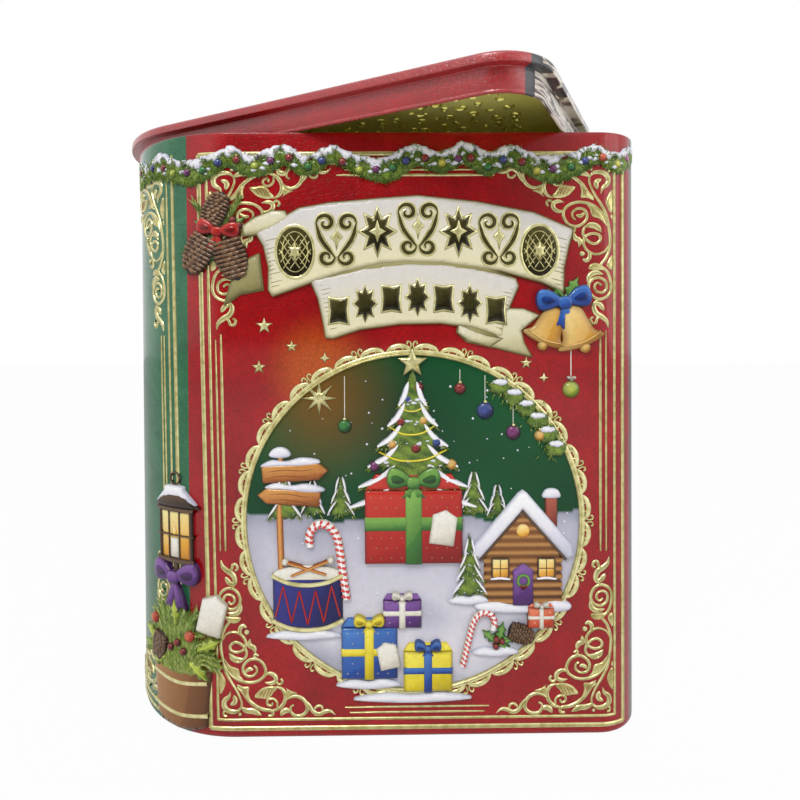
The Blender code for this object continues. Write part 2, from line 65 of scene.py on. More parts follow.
# %% Sizes of the tin
TIN_TALL = 206.0 * MM
TIN_LONG = 185.0 * MM
TIN_THICK = 90.0 * MM
FORE_CORNER = 16.0 * MM
SHEET = 0.3 * MM
REST_GAP = 0.3 * MM
FOLD_THICK = 0.7 * MM
FOLD_DEEP = 3.0 * MM
FOOT_ROUND = 2.2 * MM
TURN_IN = 5.0 * MM
WALL_FOOT = 0.6 * MM
UNDER_FOLD = 1.6 * MM
SPINE_ROUND = TIN_THICK / 2
SPINE_X = -TIN_LONG / 2 + SPINE_ROUND
FRONT_FLAT = TIN_LONG - SPINE_ROUND - FORE_CORNER
FORE_FLAT = TIN_THICK - 2 * FORE_CORNER
CORNER_ARC = FORE_CORNER * pi / 2
SPINE_ARC = SPINE_ROUND * pi
ONCE_ROUND = SPINE_ARC + 2 * FRONT_FLAT + 2 * CORNER_ARC + FORE_FLAT
BACK_START = FRONT_FLAT + 2 * CORNER_ARC + FORE_FLAT


def plan_point(along, out):
    """Point in plan, a distance along the outline and moved out square to it."""
    if along < 0:
        angle = -along / SPINE_ROUND
        reach = SPINE_ROUND + out
        return SPINE_X - reach * sin(angle), -reach * cos(angle)
    if along <= FRONT_FLAT:
        return SPINE_X + along, -SPINE_ROUND - out
    along -= FRONT_FLAT
    corner_x = SPINE_X + FRONT_FLAT
    reach = FORE_CORNER + out
    if along <= CORNER_ARC:
        angle = along / FORE_CORNER
        return corner_x + reach * sin(angle), -FORE_FLAT / 2 - reach * cos(angle)
    along -= CORNER_ARC
    if along <= FORE_FLAT:
        return corner_x + reach, -FORE_FLAT / 2 + along
    along -= FORE_FLAT
    if along <= CORNER_ARC:
        angle = along / FORE_CORNER
        return corner_x + reach * cos(angle), FORE_FLAT / 2 + reach * sin(angle)
    along -= CORNER_ARC
    if along <= FRONT_FLAT:
        return corner_x - along, SPINE_ROUND + out
    angle = pi - (along - FRONT_FLAT) / SPINE_ROUND
    reach = SPINE_ROUND + out
    return SPINE_X - reach * sin(angle), -reach * cos(angle)


def on_wall(along, height, out):
    """Point on the bent wall, in metres."""
    x, y = plan_point(along, out)
    return (x, y, height)


wall_low, wall_high = (Vector(corner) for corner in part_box("tin_wall"))
print("wall box in mm:", [round(v / MM, 1) for v in (*wall_low, *wall_high)])

# %% [markdown]
# ## Colours and nodes
# Colours are written as the sRGB values a designer would pick, and one function turns them
# to the linear values that Blender mixes light with. One more small function adds a shader
# node with its settings and links, so a finish reads from top to bottom.

# %% Colour and node helpers
def linear(hex_colour):
    """Linear RGBA of an sRGB hex colour."""
    values = [int(hex_colour[i:i + 2], 16) / 255 for i in (1, 3, 5)]
    parts = [v / 12.92 if v <= 0.04045 else ((v + 0.055) / 1.055) ** 2.4 for v in values]
    return (*parts, 1.0)


def add_node(tree, kind, settings=None, values=None, links=None):
    """Add a shader node, set its properties and values, and link its inputs."""
    node = tree.nodes.new("ShaderNode" + kind)
    for key, value in (settings or {}).items():
        setattr(node, key, value)
    for key, value in (values or {}).items():
        node.inputs[key].default_value = value
    for key, source in (links or {}).items():
        tree.links.new(source, node.inputs[key])
    return node


def new_finish(name, values):
    """A material with its Principled shader set, and the tree to build on."""
    material = bpy.data.materials.new(name)
    material.use_nodes = True
    tree = material.node_tree
    shader = tree.nodes["Principled BSDF"]
    for key, value in values.items():
        shader.inputs[key].default_value = value
    return material, tree, shader


def colour_steps(tree, source, stops, mode="LINEAR"):
    """A colour ramp through (position, hex colour) stops."""
    ramp = add_node(tree, "ValToRGB", links={"Fac": source})
    band = ramp.color_ramp
    band.interpolation = mode
    while len(band.elements) < len(stops):
        band.elements.new(1.0)
    for element, (position, colour) in zip(band.elements, stops):
        element.position = position
        element.color = linear(colour)
    return ramp.outputs["Color"]


def object_place(tree, stretch=(1, 1, 1)):
    """Object coordinates in metres, times a stretch along each axis."""
    place = add_node(tree, "TexCoord")
    mapping = add_node(tree, "Mapping", values={"Scale": stretch}, links={"Vector": place.outputs["Object"]})
    return mapping.outputs["Vector"]


def per_mm(size_mm):
    """Texture scale for features of a real size, given in millimetres."""
    return 1.0 / (size_mm * MM)


# %% [markdown]
# ## Leather-look print
# The cover is not leather: it is four-colour ink under gloss varnish, on sheet embossed with
# a fine leather grain. The eye reads it from soft creases a millimetre or two apart that
# catch the light, from blotchy red ink, and from the hard clear reflection of the varnish
# over both. Varnish is a clear coat with an IOR near 1.5, so it is set as a coat.

# %% Leather-look finish
GRAIN_MM = 1.5
FINE_MM = 0.5
WARP_MM = 5.0
BLOTCH_MM = 14.0
GLOW_REACH = (4 * MM, 22 * MM)
GLOW_SHARE = 0.55
GLOW_PLACE = (SPINE_X + 29 * MM, -SPINE_ROUND, 126 * MM)


def warm_glow(tree, ink):
    """An airbrushed orange glow on the cover, where lamplight would fall on it."""
    place = add_node(tree, "TexCoord")
    away = add_node(tree, "VectorMath", {"operation": "DISTANCE"}, {1: GLOW_PLACE},
                    {0: place.outputs["Object"]})
    share = add_node(tree, "MapRange", {"interpolation_type": "SMOOTHSTEP"},
                     {"From Min": GLOW_REACH[0], "From Max": GLOW_REACH[1], "To Min": GLOW_SHARE,
                      "To Max": 0.0}, {"Value": away.outputs["Value"]})
    mixed = add_node(tree, "MixRGB", values={"Color2": linear("#D06A10")},
                     links={"Fac": share.outputs["Result"], "Color1": ink})
    return mixed.outputs["Color"]


def leather_print(name, deep, middle, light, grain=0.42, coat=0.7, coat_rough=0.09, glow=False, haze=0.12):
    """Blotchy ink with painted shade darkening its creases, pressed in as bump, under clear varnish."""
    material, tree, shader = new_finish(name, {
        "Roughness": 0.36, "IOR": 1.5, "Specular IOR Level": haze, "Coat Weight": coat,
        "Coat Roughness": coat_rough, "Metallic": 0.0})
    place = object_place(tree)
    blotch = add_node(tree, "TexNoise", values={"Scale": per_mm(BLOTCH_MM), "Detail": 6.0, "Roughness": 0.62},
                      links={"Vector": place})
    ink = colour_steps(tree, blotch.outputs["Fac"], [(0.30, deep), (0.52, middle), (0.72, light)])
    if glow:
        ink = warm_glow(tree, ink)
    warp = add_node(tree, "TexNoise", values={"Scale": per_mm(WARP_MM), "Detail": 3.0},
                    links={"Vector": place})
    bent = add_node(tree, "MixRGB", {"blend_type": "LINEAR_LIGHT"}, {"Fac": 0.0012},
                    {"Color1": place, "Color2": warp.outputs["Color"]})
    creases = add_node(tree, "TexVoronoi", {"feature": "DISTANCE_TO_EDGE"}, {"Scale": per_mm(GRAIN_MM)},
                       {"Vector": bent.outputs["Color"]})
    crease = add_node(tree, "MapRange", values={"From Min": 0.0, "From Max": 0.12},
                      links={"Value": creases.outputs["Distance"]})
    fine = add_node(tree, "TexNoise", values={"Scale": per_mm(FINE_MM), "Detail": 4.0},
                    links={"Vector": place})
    height = add_node(tree, "Math", {"operation": "MULTIPLY_ADD"}, {1: 0.5},
                      {0: fine.outputs["Fac"], 2: crease.outputs["Result"]})
    # Painted shade: the ink is darkened in the grain's creases, where the bump makes hollows.
    shade = add_node(tree, "MapRange", values={"From Min": 0.0, "From Max": 1.0, "To Min": 0.74,
        "To Max": 1.0}, links={"Value": crease.outputs["Result"]})
    darker = add_node(tree, "MixRGB", {"blend_type": "MULTIPLY"}, {"Fac": 1.0},
                      {"Color1": ink, "Color2": shade.outputs["Result"]})
    bump = add_node(tree, "Bump", values={"Strength": grain, "Distance": 0.15 * MM},
                    links={"Height": height.outputs["Value"]})
    tree.links.new(darker.outputs["Color"], shader.inputs["Base Color"])
    tree.links.new(bump.outputs["Normal"], shader.inputs["Normal"])
    return material


red_leather = leather_print("red_leather_print", "#8E0008", "#A0020A", "#B0060E", coat=0.9, glow=True)
# The lid's inks are a lighter copy of the wall's red: a painted sheen. Its coat and haze are real gloss
# settings.
lid_leather_with_sheen = leather_print("red_leather_with_painted_sheen_on_lid", "#9E0A12", "#AC0C14", "#BA1218", coat=1.0,
                            coat_rough=0.22, haze=0.65)
green_leather = leather_print("green_leather_print", "#1F5A3A", "#2C6C48", "#387A56", grain=0.12)
print("leather prints:", red_leather.name, green_leather.name)

# %% [markdown]
# ## Page edges, cover edge and bare metal
# The fore-edge is printed as the edges of pages: cream, with thin uneven lines that run the
# height of the book. A noise stretched eighty times along the height gives lines whose
# spacing wanders as real paper does. On the lid they run round it, with dark leaf ends. The
# cover's board is a narrow grey-black stripe. Inside, the sheet has a gold lacquer, a thin
# stoved resin coat. In the deep hollow lid it reads as a matt olive-yellow, more a coat than
# a metal, so it keeps only a trace of metal. The bottom plate is bare rolled tinplate.

# %% Pages, cover edge, lacquer and tinplate
PAGE_MM = 1.1
LID_PAGE_MM = 0.55
LEAF_END_MM = 5.0
CLOUD_MM = 30.0
ROLLING_MM = 0.6


def page_print(name):
    """Cream page edges with dark gaps between the sheets, running up the book."""
    material, tree, shader = new_finish(name, {"Roughness": 0.34, "IOR": 1.5, "Coat Weight": 0.5,
        "Coat Roughness": 0.1})
    place = object_place(tree, (1, 1, 0.012))
    sheets = add_node(tree, "TexNoise", values={"Scale": per_mm(PAGE_MM), "Detail": 5.0, "Roughness": 0.7},
                      links={"Vector": place})
    ink = colour_steps(tree, sheets.outputs["Fac"], [
        (0.36, "#4A3A44"), (0.40, "#A89C90"), (0.47, "#D8D0C0"), (0.60, "#E8E0D0"), (0.70, "#BDB2A2")])
    tree.links.new(ink, shader.inputs["Base Color"])
    return material


def lid_page_print(name):
    """Page edges whose lines run round the lid, broken by the dark ends of bound leaves."""
    material, tree, shader = new_finish(name, {"Roughness": 0.34, "IOR": 1.5, "Coat Weight": 0.6,
        "Coat Roughness": 0.12})
    along = object_place(tree, (0.05, 0.05, 1.0))
    sheets = add_node(tree, "TexNoise", values={"Scale": per_mm(LID_PAGE_MM), "Detail": 2.0},
                      links={"Vector": along})
    ink = colour_steps(tree, sheets.outputs["Fac"], [
        (0.38, "#5A4448"), (0.44, "#B4A498"), (0.50, "#E6DCCC"), (0.62, "#F0E8DA"), (0.70, "#CFC2B0")])
    place = object_place(tree, (0.45, 0.45, 3.0))
    patches = add_node(tree, "TexNoise", values={"Scale": per_mm(LEAF_END_MM), "Detail": 2.0},
                       links={"Vector": place})
    blocks = colour_steps(tree, patches.outputs["Fac"], [
        (0.0, "#2E3242"), (0.37, "#4A3A4C"), (0.40, "#9A927A"), (0.42, "#FFFFFF")], "CONSTANT")
    both = add_node(tree, "MixRGB", {"blend_type": "MULTIPLY"}, {"Fac": 1.0},
                    {"Color1": ink, "Color2": blocks})
    tree.links.new(both.outputs["Color"], shader.inputs["Base Color"])
    return material


def gold_lacquer(name):
    """Olive-yellow resin coat with slow clouds where it ran thicker."""
    material, tree, shader = new_finish(name, {"Metallic": 0.1, "Roughness": 0.42, "Coat Weight": 0.3,
        "Coat Roughness": 0.2})
    place = object_place(tree)
    cloud = add_node(tree, "TexNoise", values={"Scale": per_mm(CLOUD_MM), "Detail": 3.0},
                     links={"Vector": place})
    tint = colour_steps(tree, cloud.outputs["Fac"], [(0.3, "#DAD26A"), (0.7, "#EEE88A")])
    tree.links.new(tint, shader.inputs["Base Color"])
    return material


def rolled_tinplate(name):
    """Bare tin, grey-white, with faint streaks along the way it was rolled."""
    material, tree, shader = new_finish(name, {"Metallic": 1.0, "Roughness": 0.3})
    place = object_place(tree, (1, 0.02, 1))
    rolling = add_node(tree, "TexNoise", values={"Scale": per_mm(ROLLING_MM), "Detail": 3.0},
                       links={"Vector": place})
    tint = colour_steps(tree, rolling.outputs["Fac"], [(0.3, "#B4B2AC"), (0.7, "#C8C6C0")])
    tree.links.new(tint, shader.inputs["Base Color"])
    return material


pages = page_print("page_edge_print")
lid_pages = lid_page_print("page_edge_print_on_lid")
lacquer = gold_lacquer("gold_lacquer_inside")
tinplate = rolled_tinplate("rolled_tinplate")
cover_edge = new_finish("cover_board_print", {"Base Color": linear("#3C3C42"), "Roughness": 0.35, "IOR": 1.5,
    "Coat Weight": 0.5, "Coat Roughness": 0.1})[0]
print("plain finishes:", pages.name, lacquer.name, tinplate.name, cover_edge.name)

# %% [markdown]
# ## The sheet metal
# The wall and the lid are both one section swept once round the outline, so one function
# makes them. The outline's places are cut exactly where the print changes colour: green
# spine, red cover, board edge, pages. Faces between two places take the colour of that
# field, and faces that look inward take the lacquer.

# %% Sweep a section round the outline
GREEN_TO_RED = -16.5 * MM
RED_TO_EDGE = 138.0 * MM
EDGE_TO_PAGES = 142.0 * MM
SPINE_STEPS = 96
CORNER_STEPS = 20
KEEP_APART = 0.4 * MM
SHEET_SHARP = 40
RED_PART, GREEN_PART, EDGE_PART, PAGE_PART, LACQUER_PART = range(5)


def plan_places():
    """Places once round the outline, with one at every change of print."""
    places = [-SPINE_ARC * (1 - i / SPINE_STEPS) for i in range(SPINE_STEPS + 1)] + [FRONT_FLAT]
    places += [FRONT_FLAT + CORNER_ARC * i / CORNER_STEPS for i in range(1, CORNER_STEPS + 1)]
    back_corner = FRONT_FLAT + CORNER_ARC + FORE_FLAT
    places += [back_corner + CORNER_ARC * i / CORNER_STEPS for i in range(CORNER_STEPS + 1)]
    mirrored_edge = 2 * FRONT_FLAT - RED_TO_EDGE + 2 * CORNER_ARC + FORE_FLAT
    mirrored_pages = 2 * FRONT_FLAT - EDGE_TO_PAGES + 2 * CORNER_ARC + FORE_FLAT
    changes = [GREEN_TO_RED, -SPINE_ARC - GREEN_TO_RED, RED_TO_EDGE, EDGE_TO_PAGES, mirrored_pages,
               mirrored_edge]
    for change in changes:
        places = [p for p in places if abs(p - change) > KEEP_APART] + [change]
    return sorted(places)


def print_field(along):
    """Which print covers a place along the outline."""
    half_round = FRONT_FLAT + CORNER_ARC + FORE_FLAT / 2
    from_middle = abs(along - half_round)
    if along < 0:
        return GREEN_PART if -SPINE_ARC - GREEN_TO_RED < along < GREEN_TO_RED else RED_PART
    if from_middle < half_round - EDGE_TO_PAGES:
        return PAGE_PART
    return EDGE_PART if from_middle < half_round - RED_TO_EDGE else RED_PART


def add_piece(name, data, materials, body):
    """Turn mesh data into a piece that rides on a body."""
    mesh = bpy.data.meshes.new(name)
    data.to_mesh(mesh)
    data.free()
    for material in materials:
        mesh.materials.append(material)
    piece = bpy.data.objects.new(name, mesh)
    bpy.context.scene.collection.objects.link(piece)
    mesh.shade_smooth()
    mesh.set_sharp_from_angle(angle=radians(SHEET_SHARP))
    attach(piece, body)
    return piece


def sweep_section(places, section, field_of, closed, caps=(0, 0)):
    """Sweep (out, height, inside) points round the outline, as mesh data."""
    data = bmesh.new()
    rings = []
    for out, height, _ in section:
        rings.append([data.verts.new(on_wall(along, height, out)) for along in places])
    count = len(places)
    middles = []
    for i in range(count):
        following = places[i + 1] if i + 1 < count else places[0] + ONCE_ROUND
        middles.append((places[i] + following) / 2)
    runs = list(range(len(section) - 1)) + ([len(section) - 1] if closed else [])
    for k in runs:
        m = (k + 1) % len(section)
        for i in range(count):
            j = (i + 1) % count
            face = data.faces.new((rings[k][i], rings[k][j], rings[m][j], rings[m][i]))
            inward = section[k][2] and section[m][2]
            face.material_index = LACQUER_PART if inward else field_of(middles[i])
    if not closed:
        for ring, index in ((rings[0], caps[0]), (rings[-1], caps[1])):
            data.faces.new(ring).material_index = index
    bmesh.ops.recalc_face_normals(data, faces=data.faces)
    return data


def arc_section(middle, radius, start, end, steps, inside=False):
    """Points on an arc of a section, angles in degrees."""
    points = []
    for i in range(steps + 1):
        angle = radians(start + (end - start) * i / steps)
        points.append((middle[0] + radius * cos(angle), middle[1] + radius * sin(angle), inside))
    return points


# %% [markdown]
# ## The wall
# The wall is one strip of 0.3 mm sheet, bent round and hooked together down the back. Its
# foot turns in to hold the bottom plate, and its top edge is folded in, so no raw edge is
# left to cut a hand. The section goes up the outside, over the fold and down the inside.

# %% The wall
FIELDS = [red_leather, green_leather, cover_edge, pages, lacquer]
LID_FIELDS = [lid_leather_with_sheen, green_leather, cover_edge, lid_pages, lacquer]


def wall_section():
    """(out, height, inside) points of the bent sheet's section."""
    fold = FOLD_THICK / 2
    rounded = (-FOOT_ROUND, WALL_FOOT + FOOT_ROUND)
    section = [(-TURN_IN, WALL_FOOT, False)]
    section += arc_section(rounded, FOOT_ROUND, -90, 0, 8)
    section += [(0.0, TIN_TALL - UNDER_FOLD, False)]
    section += arc_section((-fold, TIN_TALL - fold), fold, 0, 180, 8)
    section += [(-FOLD_THICK, TIN_TALL - FOLD_DEEP, True), (-SHEET, TIN_TALL - FOLD_DEEP - FOLD_THICK, True)]
    section += arc_section(rounded, FOOT_ROUND - SHEET, 0, -90, 6, True)
    section += [(-TURN_IN, WALL_FOOT + SHEET, True)]
    return section


wall_data = sweep_section(plan_places(), wall_section(), print_field, True)
wall = add_piece("printed_wall", wall_data, FIELDS, "tin")
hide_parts("tin_wall")
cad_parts["tin_bottom"].data.materials.clear()
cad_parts["tin_bottom"].data.materials.append(tinplate)
print("wall faces:", len(wall.data.polygons))

# %% [markdown]
# ## The lid
# The lid is pressed from one disc of sheet: a flat panel, a rounded band that stops on the
# tin's rim, a step, a skirt that plugs into the mouth, and an edge curled in so that it
# cannot cut. It lies loose, level and turned across the opening. It is swept in the same way
# as the wall and then put where the frame's lid is.

# %% Lid
LID_TALL = 10.9 * MM
LID_OVER = 1.97 * MM
LID_CLEARANCE = 0.35 * MM
LID_BAND = 3.2 * MM
LID_SOFT = 1.2 * MM
LID_RIM = 2.8 * MM
LID_DROP = 0.6 * MM
LID_CURL = 0.55 * MM
STEP_ROUND = 0.4 * MM
SKIRT_ROUND = 0.3 * MM
LID_TURN = radians(-27.4)
LID_PLACE = Vector((-15.7 * MM, -1.0 * MM, TIN_TALL + REST_GAP))
LID_MATRIX = Matrix.Translation(LID_PLACE) @ Matrix.Rotation(LID_TURN, 4, "Z")
LID_RIM_IN = LID_OVER - LID_SOFT - LID_RIM


def lid_section():
    """The pressed cap's section, from the panel out, down the skirt and back up inside."""
    skirt = -(FOLD_THICK + LID_CLEARANCE)
    step = LID_TALL - LID_BAND
    panel = LID_TALL - LID_DROP
    section = [(LID_RIM_IN - LID_DROP, panel, False), (LID_RIM_IN, LID_TALL, False)]
    section += arc_section((LID_OVER - LID_SOFT, LID_TALL - LID_SOFT), LID_SOFT, 90, 0, 8)
    section += arc_section((LID_OVER - STEP_ROUND, step + STEP_ROUND), STEP_ROUND, 0, -90, 4)
    section += arc_section((skirt + SKIRT_ROUND, step - SKIRT_ROUND), SKIRT_ROUND, 90, 180, 4)
    section += [(skirt, 2.4 * LID_CURL, False), (skirt - 0.12 * MM, 2.05 * LID_CURL, False)]
    section += arc_section((skirt - LID_CURL, LID_CURL), LID_CURL, 40, -180, 12)
    section += [(skirt - 2 * LID_CURL, 1.6 * LID_CURL, True), (skirt - SHEET, 2.8 * LID_CURL, True)]
    section += [(skirt - SHEET, step, True), (skirt, step + SHEET, True)]
    section += [(LID_OVER - 1.2 * SHEET, step + SHEET, True)]
    section += arc_section((LID_OVER - LID_SOFT, LID_TALL - LID_SOFT), LID_SOFT - SHEET, 0, 90, 6, True)
    section += [(LID_RIM_IN, LID_TALL - SHEET, True), (LID_RIM_IN - LID_DROP, panel - SHEET, True)]
    return section


def lid_field(along):
    """The lid's print is the wall's, but its spine side is red too."""
    field = print_field(along)
    return RED_PART if field == GREEN_PART else field


lid_data = sweep_section(plan_places(), lid_section(), lid_field, False, (RED_PART, LACQUER_PART))
lid_data.transform(LID_MATRIX)
lid = add_piece("printed_lid", lid_data, LID_FIELDS, "lid")
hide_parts("lid")
print("lid faces:", len(lid.data.polygons))

# %% [markdown]
# ## Drawing in relief
# Everything pressed up from the sheet is one of two forms. A stroke is a rounded ridge that
# follows a path and swells and tapers, like a pen line. A pad is a closed shape with a
# rounded edge. Both are drawn flat, in millimetres along the wall and up it, and carry ink
# colours that are darker near their edge and lighter on one side: painted shade and painted
# highlight that follow the relief.

# %% Paths and strokes
INK_NAME = "ink"
BURIED = -0.1
RELIEF_SHARP = 60
LEAN_MM = 1.45
LEAN_FADE = (-8.0, 40.0)
LEAN_END = -60.0
LEAN_MIDDLE, LEAN_HALF = 97.0, 93.0


def lean(along, height):
    """The print sits a little askew towards the spine, as it does on the real tin."""
    fade = min(1.0, max(0.0, (LEAN_FADE[1] - along) / (LEAN_FADE[1] - LEAN_FADE[0])))
    return along - LEAN_MM * fade * (height - LEAN_MIDDLE) / LEAN_HALF if along > LEAN_END else along


def to_wall(along, height, out):
    """Wall point in metres from millimetres on the flat sheet."""
    return on_wall(lean(along, height) * MM, height * MM, out * MM)


def new_relief(place=to_wall):
    """Empty lists for one piece, and the function that places its flat points."""
    return {"points": [], "faces": [], "inks": [], "place": place}


def add_surface(relief, flat_points, faces, inks):
    """Add (along, height, out) points in mm, faces and one ink per point."""
    start = len(relief["points"])
    relief["points"] += [relief["place"](*p) for p in flat_points]
    relief["faces"] += [tuple(start + i for i in face) for face in faces]
    relief["inks"] += inks


def through(points, step=0.6, closed=False, smooth=True):
    """Evenly spaced places on a smooth curve, or a straight-sided one, through points."""
    line = np.array(points, float)
    if smooth:
        if closed:
            wide = np.vstack([line[-1], line, line[0], line[1]])
        else:
            wide = np.vstack([2 * line[0] - line[1], line, 2 * line[-1] - line[-2]])
        parts = []
        t = np.linspace(0, 1, 12, endpoint=False)[:, None]
        for a, b, c, d in zip(wide[:-3], wide[1:-2], wide[2:-1], wide[3:]):
            parts.append(0.5 * (2 * b + (c - a) * t + (2 * a - 5 * b + 4 * c - d) * t ** 2
                                + (3 * b - a - 3 * c + d) * t ** 3))
        dense = np.vstack(parts + [line[:1] if closed else line[-1:]])
        lengths = np.concatenate([[0], np.cumsum(np.linalg.norm(np.diff(dense, axis=0), axis=1))])
        count = max(2, int(round(lengths[-1] / step)))
        wanted = np.linspace(0, lengths[-1], count + 1)
        even = np.column_stack([np.interp(wanted, lengths, dense[:, k]) for k in (0, 1)])
        return even[:-1] if closed else even
    ends = np.vstack([line, line[:1]]) if closed else line
    parts = []
    for a, b in zip(ends[:-1], ends[1:]):
        count = max(1, int(round(np.linalg.norm(b - a) / step)))
        parts.append(a + (b - a) * np.linspace(0, 1, count, endpoint=False)[:, None])
    dense = np.vstack(parts)
    return dense if closed else np.vstack([dense, line[-1:]])


def spiral(middle, start_radius, end_radius, start_angle, turns, clockwise=False):
    """Points of a spiral that winds inward, angles in degrees."""
    count = max(6, int(14 * turns))
    way = -1 if clockwise else 1
    points = []
    for i in range(count + 1):
        t = i / count
        angle = radians(start_angle) + way * TAU * turns * t
        radius = start_radius + (end_radius - start_radius) * t
        points.append((middle[0] + radius * cos(angle), middle[1] + radius * sin(angle)))
    return points


SECTION = [(-1.0, 0.0), (-0.72, 0.62), (0.0, 1.0), (0.72, 0.62), (1.0, 0.0)]
# GOLD_INK paints light on the gold: olive at the foot or edge as painted shade, pale to palest as painted
# highlight.
GOLD_INK = ("#7A7440", "#EAE2A4", "#F6F0B8")


def stroke(relief, points, width, rise=0.5, ends=(0.25, 0.25), swell=0.0, level=0.0, ink=GOLD_INK,
           step=0.6, smooth=True):
    """A rounded ridge along a path; ends are the width left at each end, swell widens its middle."""
    line = through(points, step, smooth=smooth)
    count = len(line)
    way = np.gradient(line, axis=0)
    way /= np.maximum(np.linalg.norm(way, axis=1), 1e-9)[:, None]
    side = np.column_stack([-way[:, 1], way[:, 0]])
    flat_points = []
    faces = []
    inks = []
    colours = [linear(c) for c in ink]
    for i in range(count):
        t = i / (count - 1)
        taper = 1 - (1 - ends[0]) * max(0.0, 1 - t * 4) ** 1.5 - (1 - ends[1]) * max(0.0,
            1 - (1 - t) * 4) ** 1.5
        half = width / 2 * (taper + swell * sin(pi * t) ** 1.5)
        for across, up in SECTION:
            place = line[i] + side[i] * half * across
            out = level + up * rise * min(1.0, 0.35 + taper) if up else BURIED
            flat_points.append((place[0], place[1], out))
            # Painted light across the ridge: the foot takes the first ink, the flanks the second and the
            # ridge top the third.
            inks.append(colours[2] if up == 1.0 else colours[1] if up else colours[0])
    rows = len(SECTION)
    for i in range(count - 1):
        for k in range(rows - 1):
            a = i * rows + k
            faces.append((a, a + rows, a + rows + 1, a + 1))
    add_surface(relief, flat_points, faces, inks)


def bar(*parts, **more):
    """A stroke whose path keeps its corners."""
    stroke(*parts, smooth=False, **more)


print("a stroke's section has", len(SECTION), "points")

# %% [markdown]
# ## Pads
# A leaf, a bauble or a ribbon is a filled shape. A bevelled curve breaks up at sharp notches,
# so the outline is filled with a net of triangles instead, with a row of points just inside
# it, and each point is raised by its distance from the edge.

# %% Pads
ROW_SHARE = 0.87


def edge_distance(places, loop):
    """Distance from each place to the nearest edge of a closed loop."""
    a = loop
    b = np.roll(loop, -1, axis=0)
    span = b - a
    size = np.maximum((span ** 2).sum(1), 1e-12)
    best = np.full(len(places), 1e9)
    for k in range(len(a)):
        t = np.clip(((places - a[k]) @ span[k]) / size[k], 0, 1)
        gap = np.linalg.norm(places - a[k] - t[:, None] * span[k], axis=1)
        best = np.minimum(best, gap)
    return best


def inside_loop(places, loop):
    """Which places lie inside a closed loop."""
    a = loop
    b = np.roll(loop, -1, axis=0)
    inside = np.zeros(len(places), bool)
    x, y = places[:, 0], places[:, 1]
    for (ax, ay), (bx, by) in zip(a, b):
        if ay == by:
            continue
        crosses = (ay > y) != (by > y)
        inside ^= crosses & (x < (bx - ax) * (y - ay) / (by - ay) + ax)
    return inside


def blend_inks(low, high, t):
    """Colour a share t of the way from one ink to another."""
    return tuple(l + (h - l) * t for l, h in zip(low, high))


def pad(relief, outline, ink, rise=0.8, soft=1.2, level=0.0, step=0.9, smooth=True,
        lit=(-0.3, 1.0), edge=0.5):
    """A closed shape raised from the sheet: rounded edge, with painted shade there and on the side away from
    lit.
    """
    loop = through(outline, step, closed=True, smooth=smooth)
    area = 0.5 * np.sum(loop[:, 0] * np.roll(loop[:, 1], -1) - np.roll(loop[:, 0], -1) * loop[:, 1])
    if area < 0:
        loop = loop[::-1]
    low, high = loop.min(0), loop.max(0)
    columns = np.arange(low[0], high[0], step)
    rows = np.arange(low[1], high[1], step * ROW_SHARE)
    grid = np.array([(x + (step / 2 if k % 2 else 0), y) for k, y in enumerate(rows) for x in columns])
    grid = grid[inside_loop(grid, loop)] if len(grid) else np.zeros((0, 2))
    gaps = edge_distance(grid, loop) if len(grid) else np.zeros(0)
    inner = grid[gaps > step * 0.75]
    way = np.roll(loop, -1, axis=0) - np.roll(loop, 1, axis=0)
    way /= np.maximum(np.linalg.norm(way, axis=1), 1e-9)[:, None]
    inset = loop + np.column_stack([-way[:, 1], way[:, 0]]) * step * 0.32
    keep = inside_loop(inset, loop) & (edge_distance(inset, loop) > step * 0.25)
    inset = inset[keep]
    flat = np.vstack([loop, inset, inner])
    count = len(loop)
    edges = [(i, (i + 1) % count) for i in range(count)]
    solved = delaunay_2d_cdt([Vector(p) for p in flat], edges, [], 1, 1e-5)
    verts = np.array([tuple(v) for v in solved[0]])
    faces = [tuple(f) for f in solved[2]]
    if not faces:
        return
    centres = np.array([verts[list(f)].mean(0) for f in faces])
    good = inside_loop(centres, loop)
    faces = [f for f, g in zip(faces, good) if g]
    depth = edge_distance(verts, loop)
    shades = [linear(c) for c in ink] if not callable(ink) else None
    middle = (low + high) / 2
    half = np.maximum((high - low) / 2, 1e-6)
    flat_points = []
    inks = []
    for (x, y), d in zip(verts, depth):
        t = min(1.0, d / soft)
        out = level + rise * sqrt(max(0.0, 1 - (1 - t) ** 2))
        flat_points.append((x, y, out))
        if shades is None:
            inks.append(ink(x, y, d))
            continue
        # Painted light: darker toward the sloping edge as painted shade, lighter on the side that lit points
        # to as painted highlight.
        near = min(1.0, d / (edge * soft + 0.05))
        side = ((x - middle[0]) / half[0] * lit[0] + (y - middle[1]) / half[1] * lit[1]) * 0.5 + 0.5
        side = min(1.0, max(0.0, side))
        tone = blend_inks(shades[1], shades[2], side ** 1.6) if side > 0.35 else blend_inks(
            shades[0], shades[1], 0.45 + side * 1.57)
        inks.append(blend_inks(shades[0], tone, 0.25 + 0.75 * near))
    found = {tuple(np.round(p, 4)): i for i, p in enumerate(verts)}
    rim = [found.get(tuple(np.round(p, 4))) for p in loop]
    rim = [i for i in rim if i is not None]
    start = len(flat_points)
    flat_points += [(verts[i][0], verts[i][1], BURIED) for i in rim]
    inks += [inks[i] for i in rim]
    for k in range(len(rim)):
        m = (k + 1) % len(rim)
        faces.append((start + k, start + m, rim[m], rim[k]))
    add_surface(relief, flat_points, faces, inks)


def plate(*parts, **more):
    """A pad whose outline keeps its corners."""
    pad(*parts, smooth=False, **more)


